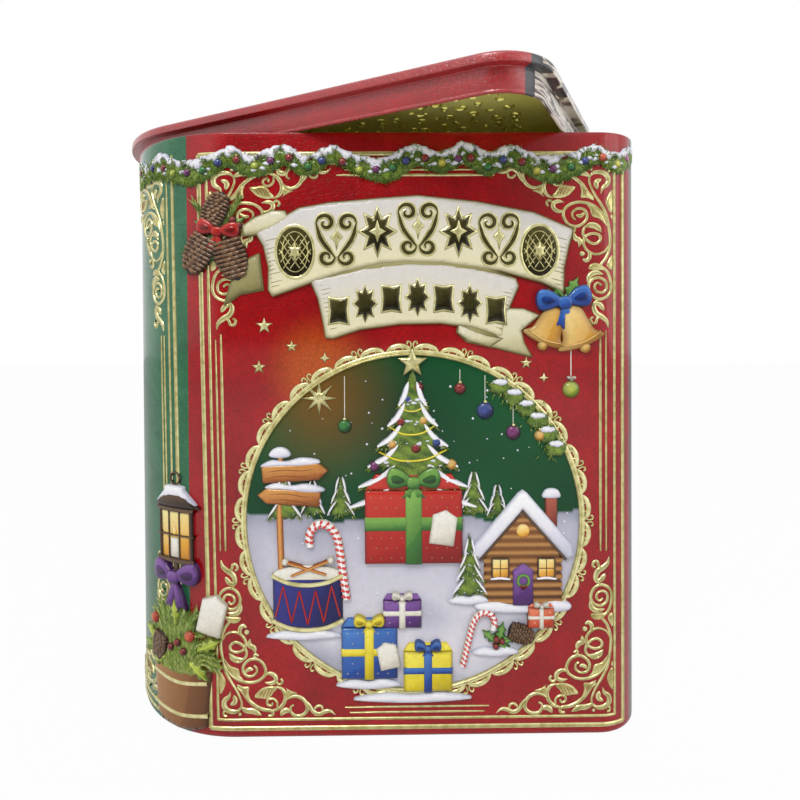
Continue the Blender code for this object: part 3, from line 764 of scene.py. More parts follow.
def finish_relief(relief, name, material, body="tin"):
    """Make one piece of a relief; its ink goes to a colour attribute."""
    mesh = bpy.data.meshes.new(name)
    mesh.from_pydata(relief["points"], [], relief["faces"])
    mesh.materials.append(material)
    colours = mesh.color_attributes.new(INK_NAME, "FLOAT_COLOR", "POINT")
    colours.data.foreach_set("color", np.array(relief["inks"], np.float32).ravel())
    mesh.validate()
    mesh.shade_smooth()
    mesh.set_sharp_from_angle(angle=radians(RELIEF_SHARP))
    piece = bpy.data.objects.new(name, mesh)
    bpy.context.scene.collection.objects.link(piece)
    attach(piece, body)
    triangles = sum(len(p.vertices) - 2 for p in mesh.polygons)
    print(f"{name}: {triangles} triangles")


# %% [markdown]
# ## Inks
# Gold on such tins is a clear yellow varnish over the bare metal, a little rough from the
# pressing. Its ridges flash while their flanks go olive, and the strokes' gold inks paint
# that in as well, as painted highlight and painted shade. It is set halfway to a metal, as
# the varnish has a colour of its own where there is little to reflect. The picture inks are
# opaque colour under gloss varnish. Snow is opaque white ink, softer than the rest. The
# baubles get the thickest, glassiest varnish of all.

# %% Ink finishes
def gold_ink(name, metallic=0.5, roughness=0.24):
    """Pale gold varnish over tin, worn duller in small patches."""
    material, tree, shader = new_finish(name, {
        "Metallic": metallic, "Roughness": roughness, "Coat Weight": 0.3, "Coat Roughness": 0.12})
    place = object_place(tree)
    wear = add_node(tree, "TexNoise", values={"Scale": per_mm(2.2), "Detail": 4.0}, links={"Vector": place})
    ink = add_node(tree, "VertexColor", {"layer_name": INK_NAME})
    shade = colour_steps(tree, wear.outputs["Fac"], [(0.3, "#D2CDB4"), (0.6, "#FFFFFF")])
    tint = add_node(tree, "MixRGB", {"blend_type": "MULTIPLY"}, {"Fac": 1.0},
                    {"Color1": ink.outputs["Color"], "Color2": shade})
    bump = add_node(tree, "Bump", values={"Strength": 0.12, "Distance": 0.1 * MM},
                    links={"Height": wear.outputs["Fac"]})
    tree.links.new(tint.outputs["Color"], shader.inputs["Base Color"])
    tree.links.new(bump.outputs["Normal"], shader.inputs["Normal"])
    return material


def picture_ink(name, roughness=0.36, coat=0.5, mottle=0.5, size_mm=1.6):
    """Opaque litho ink: the drawn colour, broken by a fine mottle."""
    material, tree, shader = new_finish(name,
                                        {"Roughness": roughness, "IOR": 1.5, "Specular IOR Level": 0.15,
                                         "Coat Weight": coat, "Coat Roughness": 0.1})
    place = object_place(tree)
    grain = add_node(tree, "TexNoise", values={"Scale": per_mm(size_mm), "Detail": 5.0, "Roughness": 0.65},
                     links={"Vector": place})
    ink = add_node(tree, "VertexColor", {"layer_name": INK_NAME})
    shade = colour_steps(tree, grain.outputs["Fac"], [(0.34, "#9A9A9A"), (0.5, "#E4E4E4"), (0.66, "#FFFFFF")])
    tint = add_node(tree, "MixRGB", {"blend_type": "MULTIPLY"}, {"Fac": mottle},
                    {"Color1": ink.outputs["Color"], "Color2": shade})
    bump = add_node(tree, "Bump", values={"Strength": 0.15, "Distance": 0.1 * MM},
                    links={"Height": grain.outputs["Fac"]})
    tree.links.new(tint.outputs["Color"], shader.inputs["Base Color"])
    tree.links.new(bump.outputs["Normal"], shader.inputs["Normal"])
    return material


gold = gold_ink("gold_varnish_on_tin")
pressed_lacquer = gold_ink("gold_lacquer_over_pressing", 0.8, 0.2)
fir_ink = picture_ink("fir_green_ink", roughness=0.42, coat=0.6, mottle=0.6, size_mm=1.0)
snow_ink = picture_ink("white_snow_ink", roughness=0.5, coat=0.25, mottle=0.10, size_mm=1.2)
motif_ink = picture_ink("litho_motif_ink", roughness=0.34, coat=0.7, mottle=0.2, size_mm=1.4)
paper_ink = picture_ink("cream_ribbon_ink", roughness=0.4, coat=0.4, mottle=0.10, size_mm=2.0)
ground_ink = picture_ink("night_and_snow_ink", roughness=0.4, coat=0.4, mottle=0.12, size_mm=2.5)
bauble_ink = picture_ink("bauble_gloss_ink", roughness=0.16, coat=0.8, mottle=0.15, size_mm=1.0)
print("inks:", [m.name for m in (gold, motif_ink, fir_ink, snow_ink, bauble_ink)])

# %% [markdown]
# ## Gold frame lines
# Two lines frame the cover: a broad outer one and a slim inner one, each a raised ridge.
# Short double lines fill the gaps between the corner scrolls. The spine carries the same
# frame, and the back cover repeats it plainly. Down the back runs the lock seam, a flat
# strip where the two ends of the sheet are hooked together.

# %% Frame lines
# LINE_INK, SCROLL_INK and LEAF_INK are painted reflection on the gold: pale flanks or rims against an olive
# foot and ridge.
LINE_INK = ("#7A7440", "#F4ECAC", "#C0B876")
COVER_LEFT, COVER_RIGHT = -10.2, 133.2
SCROLL_INK = ("#A8A066", "#FAF4BC", "#B4AC68")
LEAF_INK = ("#F6F0B8", "#DCD28C", "#A89A56")
COVER_LOW, COVER_HIGH = 4.4, 198.8
INNER_LEFT, INNER_RIGHT = -7.4, 129.4
INNER_LOW, INNER_HIGH = 7.5, 195.6
SCROLL_HIGH = 195.3
SPINE_MIDDLE = -SPINE_ARC / 2 / MM
BACK_LEFT = BACK_START / MM - 9.2
BACK_RIGHT = (BACK_START + FRONT_FLAT) / MM + 10.2
FRAME_GAP = 2.8
SEAM_PLACE = (BACK_START + FRONT_FLAT) / MM - 30.0
SEAM_HALF = 2.5
SEAM_LOW, SEAM_HIGH = 1.5, 204.5


def box_line(relief, left, right, low, high, width):
    """A closed rectangular gold line with sharp corners."""
    for a, b in (((left, low), (right, low)), ((right, low), (right, high)),
                 ((right, high), (left, high)), ((left, high), (left, low))):
        bar(relief, [a, b], width, 0.45, (1.0, 1.0), step=1.6, ink=LINE_INK)


def straight(relief, a, b, width):
    """A short gold line that narrows at both ends."""
    bar(relief, [a, b], width, 0.4, (0.6, 0.6), step=1.6, ink=LINE_INK)


lines = new_relief()
box_line(lines, COVER_LEFT, COVER_RIGHT, COVER_LOW, COVER_HIGH, 1.7)
box_line(lines, INNER_LEFT, INNER_RIGHT, INNER_LOW, INNER_HIGH, 1.05)
for along, width, end in ((-3.5, 1.05, 138.2), (-5.3, 0.75, 136.4)):
    straight(lines, (along, 65), (along, end), width)
for along, width in ((124.2, 1.0), (126.2, 0.75)):
    straight(lines, (along, 64), (along, 139), width)
for height, inset in ((9.6, 1.6), (11.4, 0.0)):
    straight(lines, (37 + inset, height), (86 - inset, height), 0.75)
straight(lines, (35.3, 191.6), (88.4, 191.6), 1.05)
straight(lines, (38.0, 193.4), (86.0, 193.4), 0.75)
for side in (1, -1):
    for offset, width in ((49.1, 1.8), (46.2, 0.95)):
        place = SPINE_MIDDLE + side * offset
        straight(lines, (place, 3.5), (place, 200), width)
    for offset in (43.4, 41.8):
        straight(lines, (SPINE_MIDDLE + side * offset, 62), (SPINE_MIDDLE + side * offset, 138), 0.75)
for height, width in ((4.2, 1.5), (7.2, 1.0), (198.0, 1.5), (194.0, 1.0)):
    straight(lines, (SPINE_MIDDLE - 46, height), (SPINE_MIDDLE + 46, height), width)
box_line(lines, BACK_LEFT, BACK_RIGHT, COVER_LOW, COVER_HIGH, 1.7)
box_line(lines, BACK_LEFT + FRAME_GAP, BACK_RIGHT - FRAME_GAP, INNER_LOW, INNER_HIGH, 1.05)
finish_relief(lines, "gold_frame_lines", gold)
seam = new_relief()
seam_strip = [(SEAM_PLACE - SEAM_HALF, SEAM_LOW), (SEAM_PLACE + SEAM_HALF, SEAM_LOW),
              (SEAM_PLACE + SEAM_HALF, SEAM_HIGH), (SEAM_PLACE - SEAM_HALF, SEAM_HIGH)]
plate(seam, seam_strip, GOLD_INK, rise=0.4, soft=0.5, step=1.2)
finish_relief(seam, "lock_seam_down_the_back", red_leather)

# %% [markdown]
# ## Corner scrolls
# Each corner holds a filigree of leafy scrolls, the same four times, mirrored. It is drawn
# once from the corner of the inner line: strokes for stems and spirals, pads for leaves.
# The spine's panel has the same scrolls in its four corners.

# %% Scroll drawing
STEMS = [
    ([(8.2, 4), (8.3, 6.2), (6.9, 9.6), (4.8, 13.1), (3, 16.6), (2, 20.9), (1.5, 25.2), (2, 28.7),
      (3.2, 31.5), (4.7, 33.7), (2.6, 35.7), (1.5, 38.5), (1.3, 41.7), (2.6, 43.9), (5.2, 44.9), (7.6, 43.5),
      (8.6, 40.7), (7.6, 38.5), (5.4, 37.7), (3.2, 38.9), (2.8, 41.2), (4, 42.6), (6, 42.3), (6.7, 40.5),
      (5.6, 39.4), (4.5, 40.3)], 1, (0.7, 0.8), 0),
    ([(5.4, 44.8), (6.9, 46.8), (6.2, 49.4), (4.2, 50.8), (2.7, 52.3), (2.2, 54.4)], 1.1, (0.5, 0.3), 0.7),
    ([(4.2, 50.6), (5.8, 51.2), (6.3, 52.8), (7.5, 52.8), (7.9, 51.3), (7.1, 50.9)], 0.9, (0.5, 0.9), 0.1),
    ([(6.5, 46.4), (5, 46.6), (3.6, 48.7)], 1.3, (0.4, 0.15), 0.3),
    ([(8.9, 39.6), (8.3, 37.2), (6.4, 36), (3.9, 36.6)], 1.2, (0.2, 0.2), 0.5),
    ([(2, 27), (3.5, 29.1), (6.1, 30), (8.7, 29), (10.2, 26.5), (9.7, 24.2), (7.4, 23.1), (5.2, 23.6),
      (4.8, 25.2), (6.5, 26.5), (8.7, 25.7), (10.3, 23.5), (10, 21.3), (7.8, 20), (5.6, 20.7), (4.3, 22.8)],
     0.95, (0.6, 0.3), 0),
    ([(9.6, 20.9), (7.8, 20.3), (5.8, 20.9), (4.5, 22.6)], 1.5, (0.2, 0.2), 0.4),
    ([(8.5, 29), (8.2, 30.9), (9.3, 32.1), (10.5, 31.5)], 1.1, (0.7, 0.5), 0.3),
    ([(11.7, 27.6), (11.4, 25.4), (12.9, 24.6), (13.5, 22.5)], 1.1, (0.15, 0.15), 0.6),
    ([(14.2, 20.4), (13, 21.6), (13.4, 22.5), (14.4, 21.8)], 0.8, (0.6, 0.9), 0),
    ([(2.1, 19.8), (3.9, 16.6), (6.1, 14.4), (8.7, 13.1), (11.7, 12.7), (14.3, 13.3), (16.3, 14.8),
      (16.9, 17), (15.6, 19.6), (13.4, 20.7), (11.1, 20.3), (9.3, 18.5), (9.1, 16.6), (10.2, 15.1),
      (12.2, 14.9), (13.8, 16.1), (13.6, 17.9), (12.8, 18.4)], 1, (0.5, 0.7), 0),
    ([(9.9, 16.3), (11.2, 17.3), (12.6, 17)], 1.1, (0.5, 0.2), 0.2),
    ([(16.7, 15.3), (18.2, 15.8), (20, 14.9), (20.4, 13.2), (18.8, 12.4), (16.6, 12.7)], 1.15, (0.5, 0.2),
     0.3),
    ([(20.1, 13.2), (21.6, 12), (22.7, 12.9), (22, 14)], 0.85, (0.5, 0.9), 0),
    ([(6.9, 11.3), (8.8, 9.4), (10.8, 6.7), (13.4, 4.5), (16, 3.4), (18.2, 3.1), (19.2, 2.5), (18.9, 1.4),
      (17.6, 1.4)], 1.05, (0.5, 0.8), 0.2),
    ([(18.2, 3.1), (20.2, 3.3), (21.9, 4.2), (23.2, 5.9), (23.6, 8.1), (22.5, 10.3), (20.4, 11.2)], 1.1,
     (0.4, 0.5), 0.2),
    ([(20.6, 3.6), (20.7, 5.7), (19.5, 7), (17.8, 7), (17.1, 5.7), (18, 4.8), (19.1, 5.1), (18.8, 5.9)],
     0.85, (0.5, 0.9), 0),
    ([(23.3, 6.2), (25.2, 7.5), (27.3, 7.9), (29.5, 7), (30.8, 5.3), (31.1, 3.1), (29.5, 1.4), (26.9, 1.2),
      (25.4, 2.6), (25.4, 4.2), (26.6, 4.9)], 1.1, (0.5, 0.5), 0.1),
    ([(21.9, 1.2), (23, 2.8), (25.4, 3)], 1.5, (0.1, 0.4), 0.3),
    ([(29.9, 6.7), (31.7, 4.9), (33, 2.8), (35.1, 1.6), (37.6, 2.6), (39.4, 2.6), (41, 1.3)], 1.1,
     (0.5, 0.1), 0.3),
    ([(36.5, 2.9), (36.2, 4.2), (34.9, 4.5), (33.8, 3.6)], 0.9, (0.5, 0.8), 0),
    ([(8.2, 4.2), (10, 3.1), (12.6, 2.8), (15.2, 1.5)], 1.5, (0.5, 0.1), 0.3),
    ([(8.2, 4.2), (6.9, 3), (4.8, 2.8), (3, 3.5), (2.1, 4.9), (2.5, 6.7), (4, 8), (4.6, 10)], 1.2,
     (0.5, 0.1), 0.5),
    ([(4.6, 5.2), (6.1, 6.2), (5.7, 8.5)], 1.4, (0.5, 0.1), 0.2),
    ([(3.2, 3.1), (2, 2.7), (2.1, 1.5), (3.2, 1.4)], 0.8, (0.5, 0.9), 0),
]
LEAVES = [
    [(6.7, 12.1), (9.1, 11.3), (11, 11.2), (10.9, 8.9), (11.7, 6), (10.2, 7.3), (8.6, 9.4)],
    [(12.8, 7.7), (14.3, 9.8), (16, 10.9), (18.2, 11.4), (20.3, 11.2), (20.6, 10.2), (19.5, 9.2), (18.6, 7.9),
     (16.9, 7), (15.2, 7.2)],
    [(2.6, 20.7), (4.8, 18.4), (7.4, 17.4), (8.1, 15), (9.3, 13.4), (6.5, 14.4), (4.1, 16.8)],
    [(23.4, 8.5), (24.1, 10.1), (23.3, 10.9), (25.6, 9.7), (27.9, 8.8), (25.6, 8.4), (24.3, 7.3)],
    [(3.4, 35.2), (6.2, 35.1), (8.6, 34.9), (7.8, 33.2), (5.4, 33)],
    [(0.9, 35), (2.7, 33.4), (0.8, 30.2)],
    [(0.9, 16.2), (3, 12.7), (0.8, 8.6)],
    [(0.8, 18.5), (1.5, 17.2), (0.8, 16.5)],
]
DOTS = [((10.6, 29.8), 0.95), ((7.7, 1.9), 0.62)]
HATCHED = [((14.6, 8.0), (16.0, 10.2)), ((15.7, 7.7), (17.1, 10.4)), ((16.8, 7.6), (18.2, 10.4)),
           ((17.8, 7.9), (19.2, 10.3)), ((9.4, 10.8), (10.3, 9.2)), ((9.1, 10.1), (10.0, 8.5))]
HATCH_INK = ("#7A3A1E", "#8E4A24", "#A8602E")
WIDEN_END = 34
SPINE_SCROLL_OFF = 45.4


def corner_scrolls(relief, origin, flip_x, flip_y, detail=0.55, widen=0.0, bold=1.0):
    """Draw the corner filigree from a corner of the inner line, mirrored and scaled as asked."""
    def put(point):
        spread = widen * sin(pi * min(point[0], WIDEN_END) / WIDEN_END)
        return (origin[0] + flip_x * (point[0] + spread), origin[1] + flip_y * point[1])
    for points, width, ends, swell in STEMS:
        stroke(relief, [put(p) for p in points], width * bold, 0.55, ends, swell, step=detail, ink=SCROLL_INK)
    for leaf in LEAVES:
        pad(relief, [put(p) for p in leaf], LEAF_INK, rise=0.5, soft=0.7, step=0.5)
    for middle, radius in DOTS:
        disc = [(middle[0] + radius * cos(TAU * i / 10),
                 middle[1] + radius * sin(TAU * i / 10)) for i in range(10)]
        pad(relief, [put(p) for p in disc], GOLD_INK, rise=0.55, soft=radius, step=0.35)
    for a, b in HATCHED:
        stroke(relief, [put(a), put(b)], 0.32, 0.12, (0.5, 0.5), level=0.47, ink=HATCH_INK, step=0.5)


scrolls = new_relief()
for flip_x, corner_x, widen in ((1, INNER_LEFT, 1.6), (-1, INNER_RIGHT, 0.8)):
    corner_scrolls(scrolls, (corner_x, INNER_LOW), flip_x, 1, bold=1.12)
    corner_scrolls(scrolls, (corner_x, SCROLL_HIGH), flip_x, -1.02, widen=widen, bold=1.12)
finish_relief(scrolls, "gold_cover_scrolls", gold)
spine_scrolls = new_relief()
for side in (1, -1):
    corner_scrolls(spine_scrolls, (SPINE_MIDDLE + side * SPINE_SCROLL_OFF, 8.2), -side, 1, 0.8, bold=1.2)
    corner_scrolls(spine_scrolls, (SPINE_MIDDLE + side * SPINE_SCROLL_OFF, 195.0), -side, -1.02, 0.8,
                   bold=1.2)
finish_relief(spine_scrolls, "gold_spine_scrolls", gold)

# %% [markdown]
# ## Small helpers for the picture
# Snow edges and fir branches are never smooth, so one helper roughens an outline. Needles
# are the smallest relief on the sheet, three faces each. Random numbers are seeded, so each
# run gives the same print.

# %% Rough outlines, needles, discs, stars
chance = random.Random(24)
between = chance.uniform
NEEDLE_RISE = 0.25


def roughen(points, amount, step=1.2, closed=True, smooth=True):
    """An outline with uneven teeth, in mm."""
    line = through(points, step, closed=closed, smooth=smooth)
    way = np.gradient(line, axis=0)
    way /= np.maximum(np.linalg.norm(way, axis=1), 1e-9)[:, None]
    side = np.column_stack([way[:, 1], -way[:, 0]])
    moves = np.array([between(-amount, amount) for _ in range(len(line))])
    return [tuple(p) for p in line + side * moves[:, None]]


def needle(relief, along, height, angle, length, width, out, ink):
    """One fir needle: a three-sided sliver lying on the relief."""
    way = (cos(angle), sin(angle))
    side = (-way[1] * width / 2, way[0] * width / 2)
    tip = (along + way[0] * length, height + way[1] * length, out + 0.1)
    ridge = (along + way[0] * length * 0.35, height + way[1] * length * 0.35, out + NEEDLE_RISE)
    left = (along + side[0], height + side[1], out - 0.3)
    right = (along - side[0], height - side[1], out - 0.3)
    # Painted light: the foot corners take the darkest ink, the tip the middle one and the ridge the lightest.
    shades = [linear(c) for c in ink]
    add_surface(relief, [right, tip, left, ridge], [(0, 1, 3), (1, 2, 3), (2, 0, 3)],
                [shades[0], shades[1], shades[0], shades[2]])


def disc_outline(along, height, radius, count=14, squash=1.0):
    """A circle's outline, or a flattened one."""
    return [(along + radius * cos(TAU * i / count), height + radius * squash * sin(TAU * i / count))
            for i in range(count)]


def star_outline(along, height, radius, arms, waist, turn=90.0):
    """A star's outline, from the tip of one arm."""
    points = []
    for i in range(2 * arms):
        reach = radius if i % 2 == 0 else radius * waist
        angle = radians(turn) + pi * i / arms
        points.append((along + reach * cos(angle), height + reach * sin(angle)))
    return points


def ball(relief, along, height, radius, ink, level, rise):
    """A half ball pressed up from the sheet, lit from its upper left."""
    pad(relief, disc_outline(along, height, radius), ink, rise=rise, soft=radius, level=level, step=0.4,
        lit=(-0.7, 0.9), edge=0.8)


# SNOW's blue-grey first ink is the painted shade that snow pads and strokes take at their edge.
SNOW = ("#B4B8CC", "#E6E3EE", "#FFFFFF")
# Each bauble's inks run dark, mid, light: painted shade to painted highlight.
BALL_INKS = {
    "red": ("#2A0408", "#741016", "#C04A40"), "blue": ("#0A0E34", "#1A2A6C", "#6478C0"),
    "lime": ("#3A4A06", "#96A81C", "#ECF080"), "purple": ("#22061E", "#5A164E", "#A85698"),
    "green": ("#08240E", "#1A6026", "#56A858"), "yellow": ("#5A560C", "#C2BC22", "#F8F488"),
    "orange": ("#7A1C0A", "#C84224", "#F08A64"), "magenta": ("#4A0E38", "#9C3074", "#D880B8"),
    "gold": ("#8A5A12", "#D49A34", "#FCE29A")}
print("bauble colours:", len(BALL_INKS))

# %% [markdown]
# ## The lid seen from below
# From below the lid's panel shows rows of bright marks, glints on the backs of a pressed
# pattern. The photograph shows only a blur there, so short random curls of lacquer stand in
# for them, on the panel's hollow side, between two long ridges. Their pale ink is a painted
# glint.

# %% Pressing under the lid
# Pale ink for the curls: a painted glint, brighter than the lacquer round it.
LACQUER_GLINT_INK = ("#C8C040", "#FFF88A", "#FFFFA8")
CURL_ROWS, CURL_COLUMNS = 9, 22
CURL_START = (-66, -30)
CURL_PITCH = (6.6, 7.4)
CURL_STRAY = 1.5
UNDER_PANEL = LID_TALL - LID_DROP - SHEET


def under_lid(x, y, out):
    """Point in metres on the lid panel's hollow side, from millimetres on the lid."""
    return LID_MATRIX @ Vector((x * MM, -y * MM, UNDER_PANEL - out * MM))


lid_press = new_relief(under_lid)
for row in range(CURL_ROWS):
    for column in range(CURL_COLUMNS):
        x = CURL_START[0] + column * CURL_PITCH[0] + between(-CURL_STRAY, CURL_STRAY)
        y = CURL_START[1] + row * CURL_PITCH[1] + between(-CURL_STRAY, CURL_STRAY)
        curl = spiral((x, y), between(1.4, 3.0), 0.4, between(0, 360), between(0.5, 1.2),
                      chance.random() < 0.5)
        stroke(lid_press, curl, between(0.6, 1.1), 0.8, (0.3, 0.3), 0.4, ink=LACQUER_GLINT_INK, step=0.7)
for y in (-36.0, 36.0):
    bar(lid_press, [(-60, y), (78, y)], 1.0, 0.4, (1, 1), ink=LACQUER_GLINT_INK, step=4.0)
finish_relief(lid_press, "lid_pressing_with_painted_glints", pressed_lacquer, "lid")

# %% [markdown]
# ## The round frame and its ground
# The picture on the cover sits in a scalloped gold ring: two ridges, then forty leafy lobes
# whose gaps show small red triangles, with a pair of curls at every second gap. Inside is a
# night sky in green ink with a warm glow, and snow on the ground.

# %% Scalloped ring
RING_ALONG, RING_UP = 60.4, 74.3
RING_INNER = 56.9
LOBES = 40
LOBE_ARC = [(57.9, 0.2), (59.2, 1.5), (59.9, 4.2), (59.4, 6.9), (58.1, 8.8)]
LOBE_CURL = [(58.9, 0.5), (60.4, 0.35), (61.2, 0.9), (61.0, 1.6), (60.3, 1.5)]


def on_ring(radius, degrees):
    """Place in mm at a distance and an angle from the ring's middle."""
    angle = radians(degrees)
    return (RING_ALONG + radius * cos(angle), RING_UP + radius * sin(angle))


def closed_ring(relief, radius, width, rise):
    """One round gold ridge of the ring."""
    points = [on_ring(radius, 360 * i / 180) for i in range(181)]
    stroke(relief, points, width, rise, (1.0, 1.0), step=1.2)


ring = new_relief()
closed_ring(ring, RING_INNER, 1.0, 0.95)
closed_ring(ring, RING_INNER + 0.95, 1.5, 0.6)
for i in range(LOBES):
    start = 360 * i / LOBES
    stroke(ring, [on_ring(radius, start + turn) for radius, turn in LOBE_ARC], 1.55, 0.6, (0.5, 0.35), 0.25)
    for turn in (3.3, 6.0):
        stroke(ring, [on_ring(58.0, start + turn), on_ring(59.3, start + turn - 0.35)], 0.6, 0.5, (1.0, 0.5),
               step=0.5)
    if i % 2 == 0:
        for way in (1, -1):
            curl = [on_ring(radius, start + way * turn) for radius, turn in LOBE_CURL]
            stroke(ring, curl, 0.72, 0.6, (0.8, 1.0), step=0.35)
finish_relief(ring, "gold_scalloped_ring", gold)

# %% [markdown]
# ## Night sky and snow
# The ground of the picture is airbrushed: green night, a warm glow beside the fir, snow with
# blue-grey shade. A painted image could do it, but a colour worked out for each point of
# one flat pad keeps the ground in the same millimetres as the drawing on it.

# %% Sky and snow inside the ring
SKY_DARK, SKY_MID = linear("#04301A"), linear("#0C5A2C")
GLOW = linear("#7A5010")
GROUND_FAR, GROUND_NEAR, GROUND_SHADE = linear("#B9B8C8"), linear("#E4E1EA"), linear("#8E92A8")
HORIZON = 76.0


def sky_and_snow(x, y, d):
    """Ink at a place of the picture's ground, d from its edge."""
    edge = HORIZON + 1.6 * sin(x / 8.0) + 0.8 * sin(x / 3.1 + 1)
    if y > edge:
        t = 0.5 + 0.5 * sin(x / 17 + y / 23) * cos(y / 12)
        colour = blend_inks(SKY_DARK, SKY_MID, 0.25 + 0.6 * t)
        glow = max(0.0, 1 - hypot(x - 30, (y - 117) * 0.9) / 30)
        return blend_inks(colour, GLOW, min(0.9, glow ** 1.3))
    t = min(1.0, (edge - y) / 50)
    colour = blend_inks(GROUND_FAR, GROUND_NEAR, t ** 0.7)
    shade = 0.45 * max(0.0, sin(x / 9 + y / 6) * sin(y / 7.5 - x / 15)) + 0.5 * max(0.0, 1 - (edge - y) / 5)
    rim = max(0.0, 1 - d / 7) * 0.35
    return blend_inks(colour, GROUND_SHADE, min(0.8, shade + rim))


ground = new_relief()
pad(ground, [on_ring(56.6, 2.5 * i) for i in range(144)], sky_and_snow, rise=0.12, soft=0.3, step=1.15)
finish_relief(ground, "picture_sky_and_snow", ground_ink)

# %% [markdown]
# ## Ribbon banners
# Two cream ribbons cross above the ring, each with rolled and folded ends. They are pads at
# three or four levels, the folds under and over the faces, and a khaki edge line gives each
# one its thickness. Short pen lines shade the ends.

# %% Banners
CREAM = ("#8E8654", "#D6CFA6", "#EAE5CE")
# CREAM_IN_SHADE is a darker copy of the cream for the folds that turn under: painted shade.
CREAM_IN_SHADE = ("#5E5630", "#8E8654", "#B4AC7C")
EDGE_LINE = ("#4A4424", "#6E6638", "#8A8250")
UPPER = [(8.7, 172.4), (16.1, 176.3), (23.1, 180.4), (32.6, 182.1), (49.6, 183.6), (62.5, 184.5),
         (82.2, 182.4), (101.6, 178.7), (114.9, 173), (113.3, 167.4), (111.7, 160), (111.5, 151.8),
         (104, 155.3), (90.4, 159), (70, 161.8), (58, 162.2), (49.6, 161.6), (38, 159), (26.7, 155.4),
         (19, 152.6), (14, 150.9), (12.7, 153), (12.9, 160.4), (11.4, 167.6)]
LOWER = [(26.3, 156.6), (29, 150), (30.4, 143), (31.4, 136.9), (33.6, 136.6), (42.8, 139.6), (56.4, 141.4),
         (70, 141.6), (80.2, 140.2), (89.6, 137), (90.8, 136.4), (92.2, 144.4), (96.4, 154), (95.4, 156.6),
         (84, 159.8), (70, 161.9), (58, 162), (44, 160.4), (34, 157.8)]


def bowed_cream(low, bow, middle, reach, tall):
    """Paper that is greyish white at its upper edge and warm cream at its lower one, with painted khaki shade
    near its raised edge.
    """
    def shade(x, y, d):
        foot = low + bow * (1 - ((x - middle) / reach) ** 2)
        t = min(1.0, max(0.0, (y - foot) / tall))
        colour = blend_inks(linear("#E8E0B8"), linear("#DAD6D4"), t)
        # Painted shade: khaki toward the banner's sloping edge.
        return blend_inks(linear("#8E8656"), colour, 0.3 + 0.7 * min(1.0, d / 1.3))
    return shade


def hatching(relief, start, end, count, length, slope, level):
    """Short pen lines that shade a fold or an end of a ribbon."""
    for i in range(count):
        t = (i + 0.5) / count
        x, y = start[0] + (end[0] - start[0]) * t, start[1] + (end[1] - start[1]) * t
        reach = length * (0.6 + 0.4 * sin(i * 2.4))
        tip = (x + reach * cos(radians(slope)), y + reach * sin(radians(slope)))
        bar(relief, [(x, y), tip], 0.3, 0.12, (0.8, 0.2), level=level, ink=EDGE_LINE, step=1.0)


def banner(relief, outline, ink, level, rise=1.0):
    """One face or fold of a ribbon, with its edge line."""
    plate(relief, outline, ink, rise=rise, soft=1.3, level=level, step=1.1, edge=0.6)
    loop = [tuple(p) for p in through(outline + outline[:1], 1.2, smooth=False)]
    bar(relief, loop, 0.45, 0.25, (1, 1), level=level + 0.1, ink=EDGE_LINE, step=1.2)


banners = new_relief()
banner(banners, [(2.2, 161.8), (9.8, 165.4), (11.0, 153.0), (3.4, 151.6), (-2.2, 147.6)], CREAM_IN_SHADE, 0.2)
banner(banners, [(92.4, 146.6), (98.0, 146.4), (103.6, 144.2), (97.4, 139.0), (98.4, 134.8), (101.0, 130.0),
                 (88.6, 133.2), (79.0, 135.2), (75.4, 138.6), (76.0, 141.4), (84, 141.5)], CREAM, 0.1)
banner(banners, [(27, 155.8), (33, 159.2), (46, 162.4), (60, 164.0), (74, 163.2), (86, 160.8), (95.4, 156.6),
                 (80, 158), (60, 160), (44, 158)], CREAM_IN_SHADE, 0.3)
banner(banners, LOWER, bowed_cream(136.5, 5.0, 62, 34, 21), 0.5)
hatching(banners, (33, 139), (29.5, 155), 11, 4.5, 12, 1.45)
hatching(banners, (90.5, 139), (94.5, 153.4), 11, 4.0, 168, 1.45)
banner(banners, [(76.0, 141.2), (75.6, 138.4), (79.4, 135.6), (86.5, 133.6), (91.0, 136.4), (86.0, 137.6),
                 (80.5, 139.6)], CREAM, 0.9, 0.7)
# A dark patch inside the roll: painted shadow.
pad(banners, [(78.0, 140.9), (80.5, 138.4), (86.4, 136.6), (90.2, 136.5), (85, 139.2)], CREAM_IN_SHADE, 0.3, 1.2,
    1.2, step=0.8)
banner(banners, UPPER, bowed_cream(150.5, 11.5, 62, 54, 22), 0.8)
hatching(banners, (13.9, 153.2), (12.2, 170), 12, 5.0, 14, 1.75)
hatching(banners, (110.8, 153.4), (112.6, 170), 12, 5.0, 166, 1.75)
banner(banners, [(4.6, 174.4), (8.6, 177.2), (14.4, 179.6), (18.6, 179.4), (19.8, 176.6), (15.0, 173.6),
                 (8.6, 171.4), (5.0, 171.0)], CREAM, 1.0, 0.9)
finish_relief(banners, "cream_banners", paper_ink)

# %% [markdown]
# ## Ornament on the banners
# Each ribbon carries a row of seven pressed ornaments, dark with a gold outline: stars,
# ovals with a lattice and mirrored scrolls, set along the ribbon's bow.

# %% Gold ornament on the banners
GOLD_DARK = ("#1E1C0C", "#38341A", "#6A6434")
OVAL_POINTS = 26
LATTICE_MM = 2.3


def on_bow(t, low, drop, start, end):
    """Place along a banner's bow: t from 0 to 1, raised in the middle."""
    return (start + (end - start) * t, low + drop * sin(pi * (0.08 + 0.84 * t)))


def tall_star(x, y, wide, tall, arms, waist, turn=90.0):
    """A star outline drawn taller than wide."""
    return [(x + (u - x) * wide / tall, v) for u, v in star_outline(x, y, tall, arms, waist, turn)]


def oval(x, y, wide, tall):
    """An upright oval's outline."""
    turns = [TAU * i / OVAL_POINTS for i in range(OVAL_POINTS)]
    return [(x + wide * cos(turn), y + tall * sin(turn)) for turn in turns]


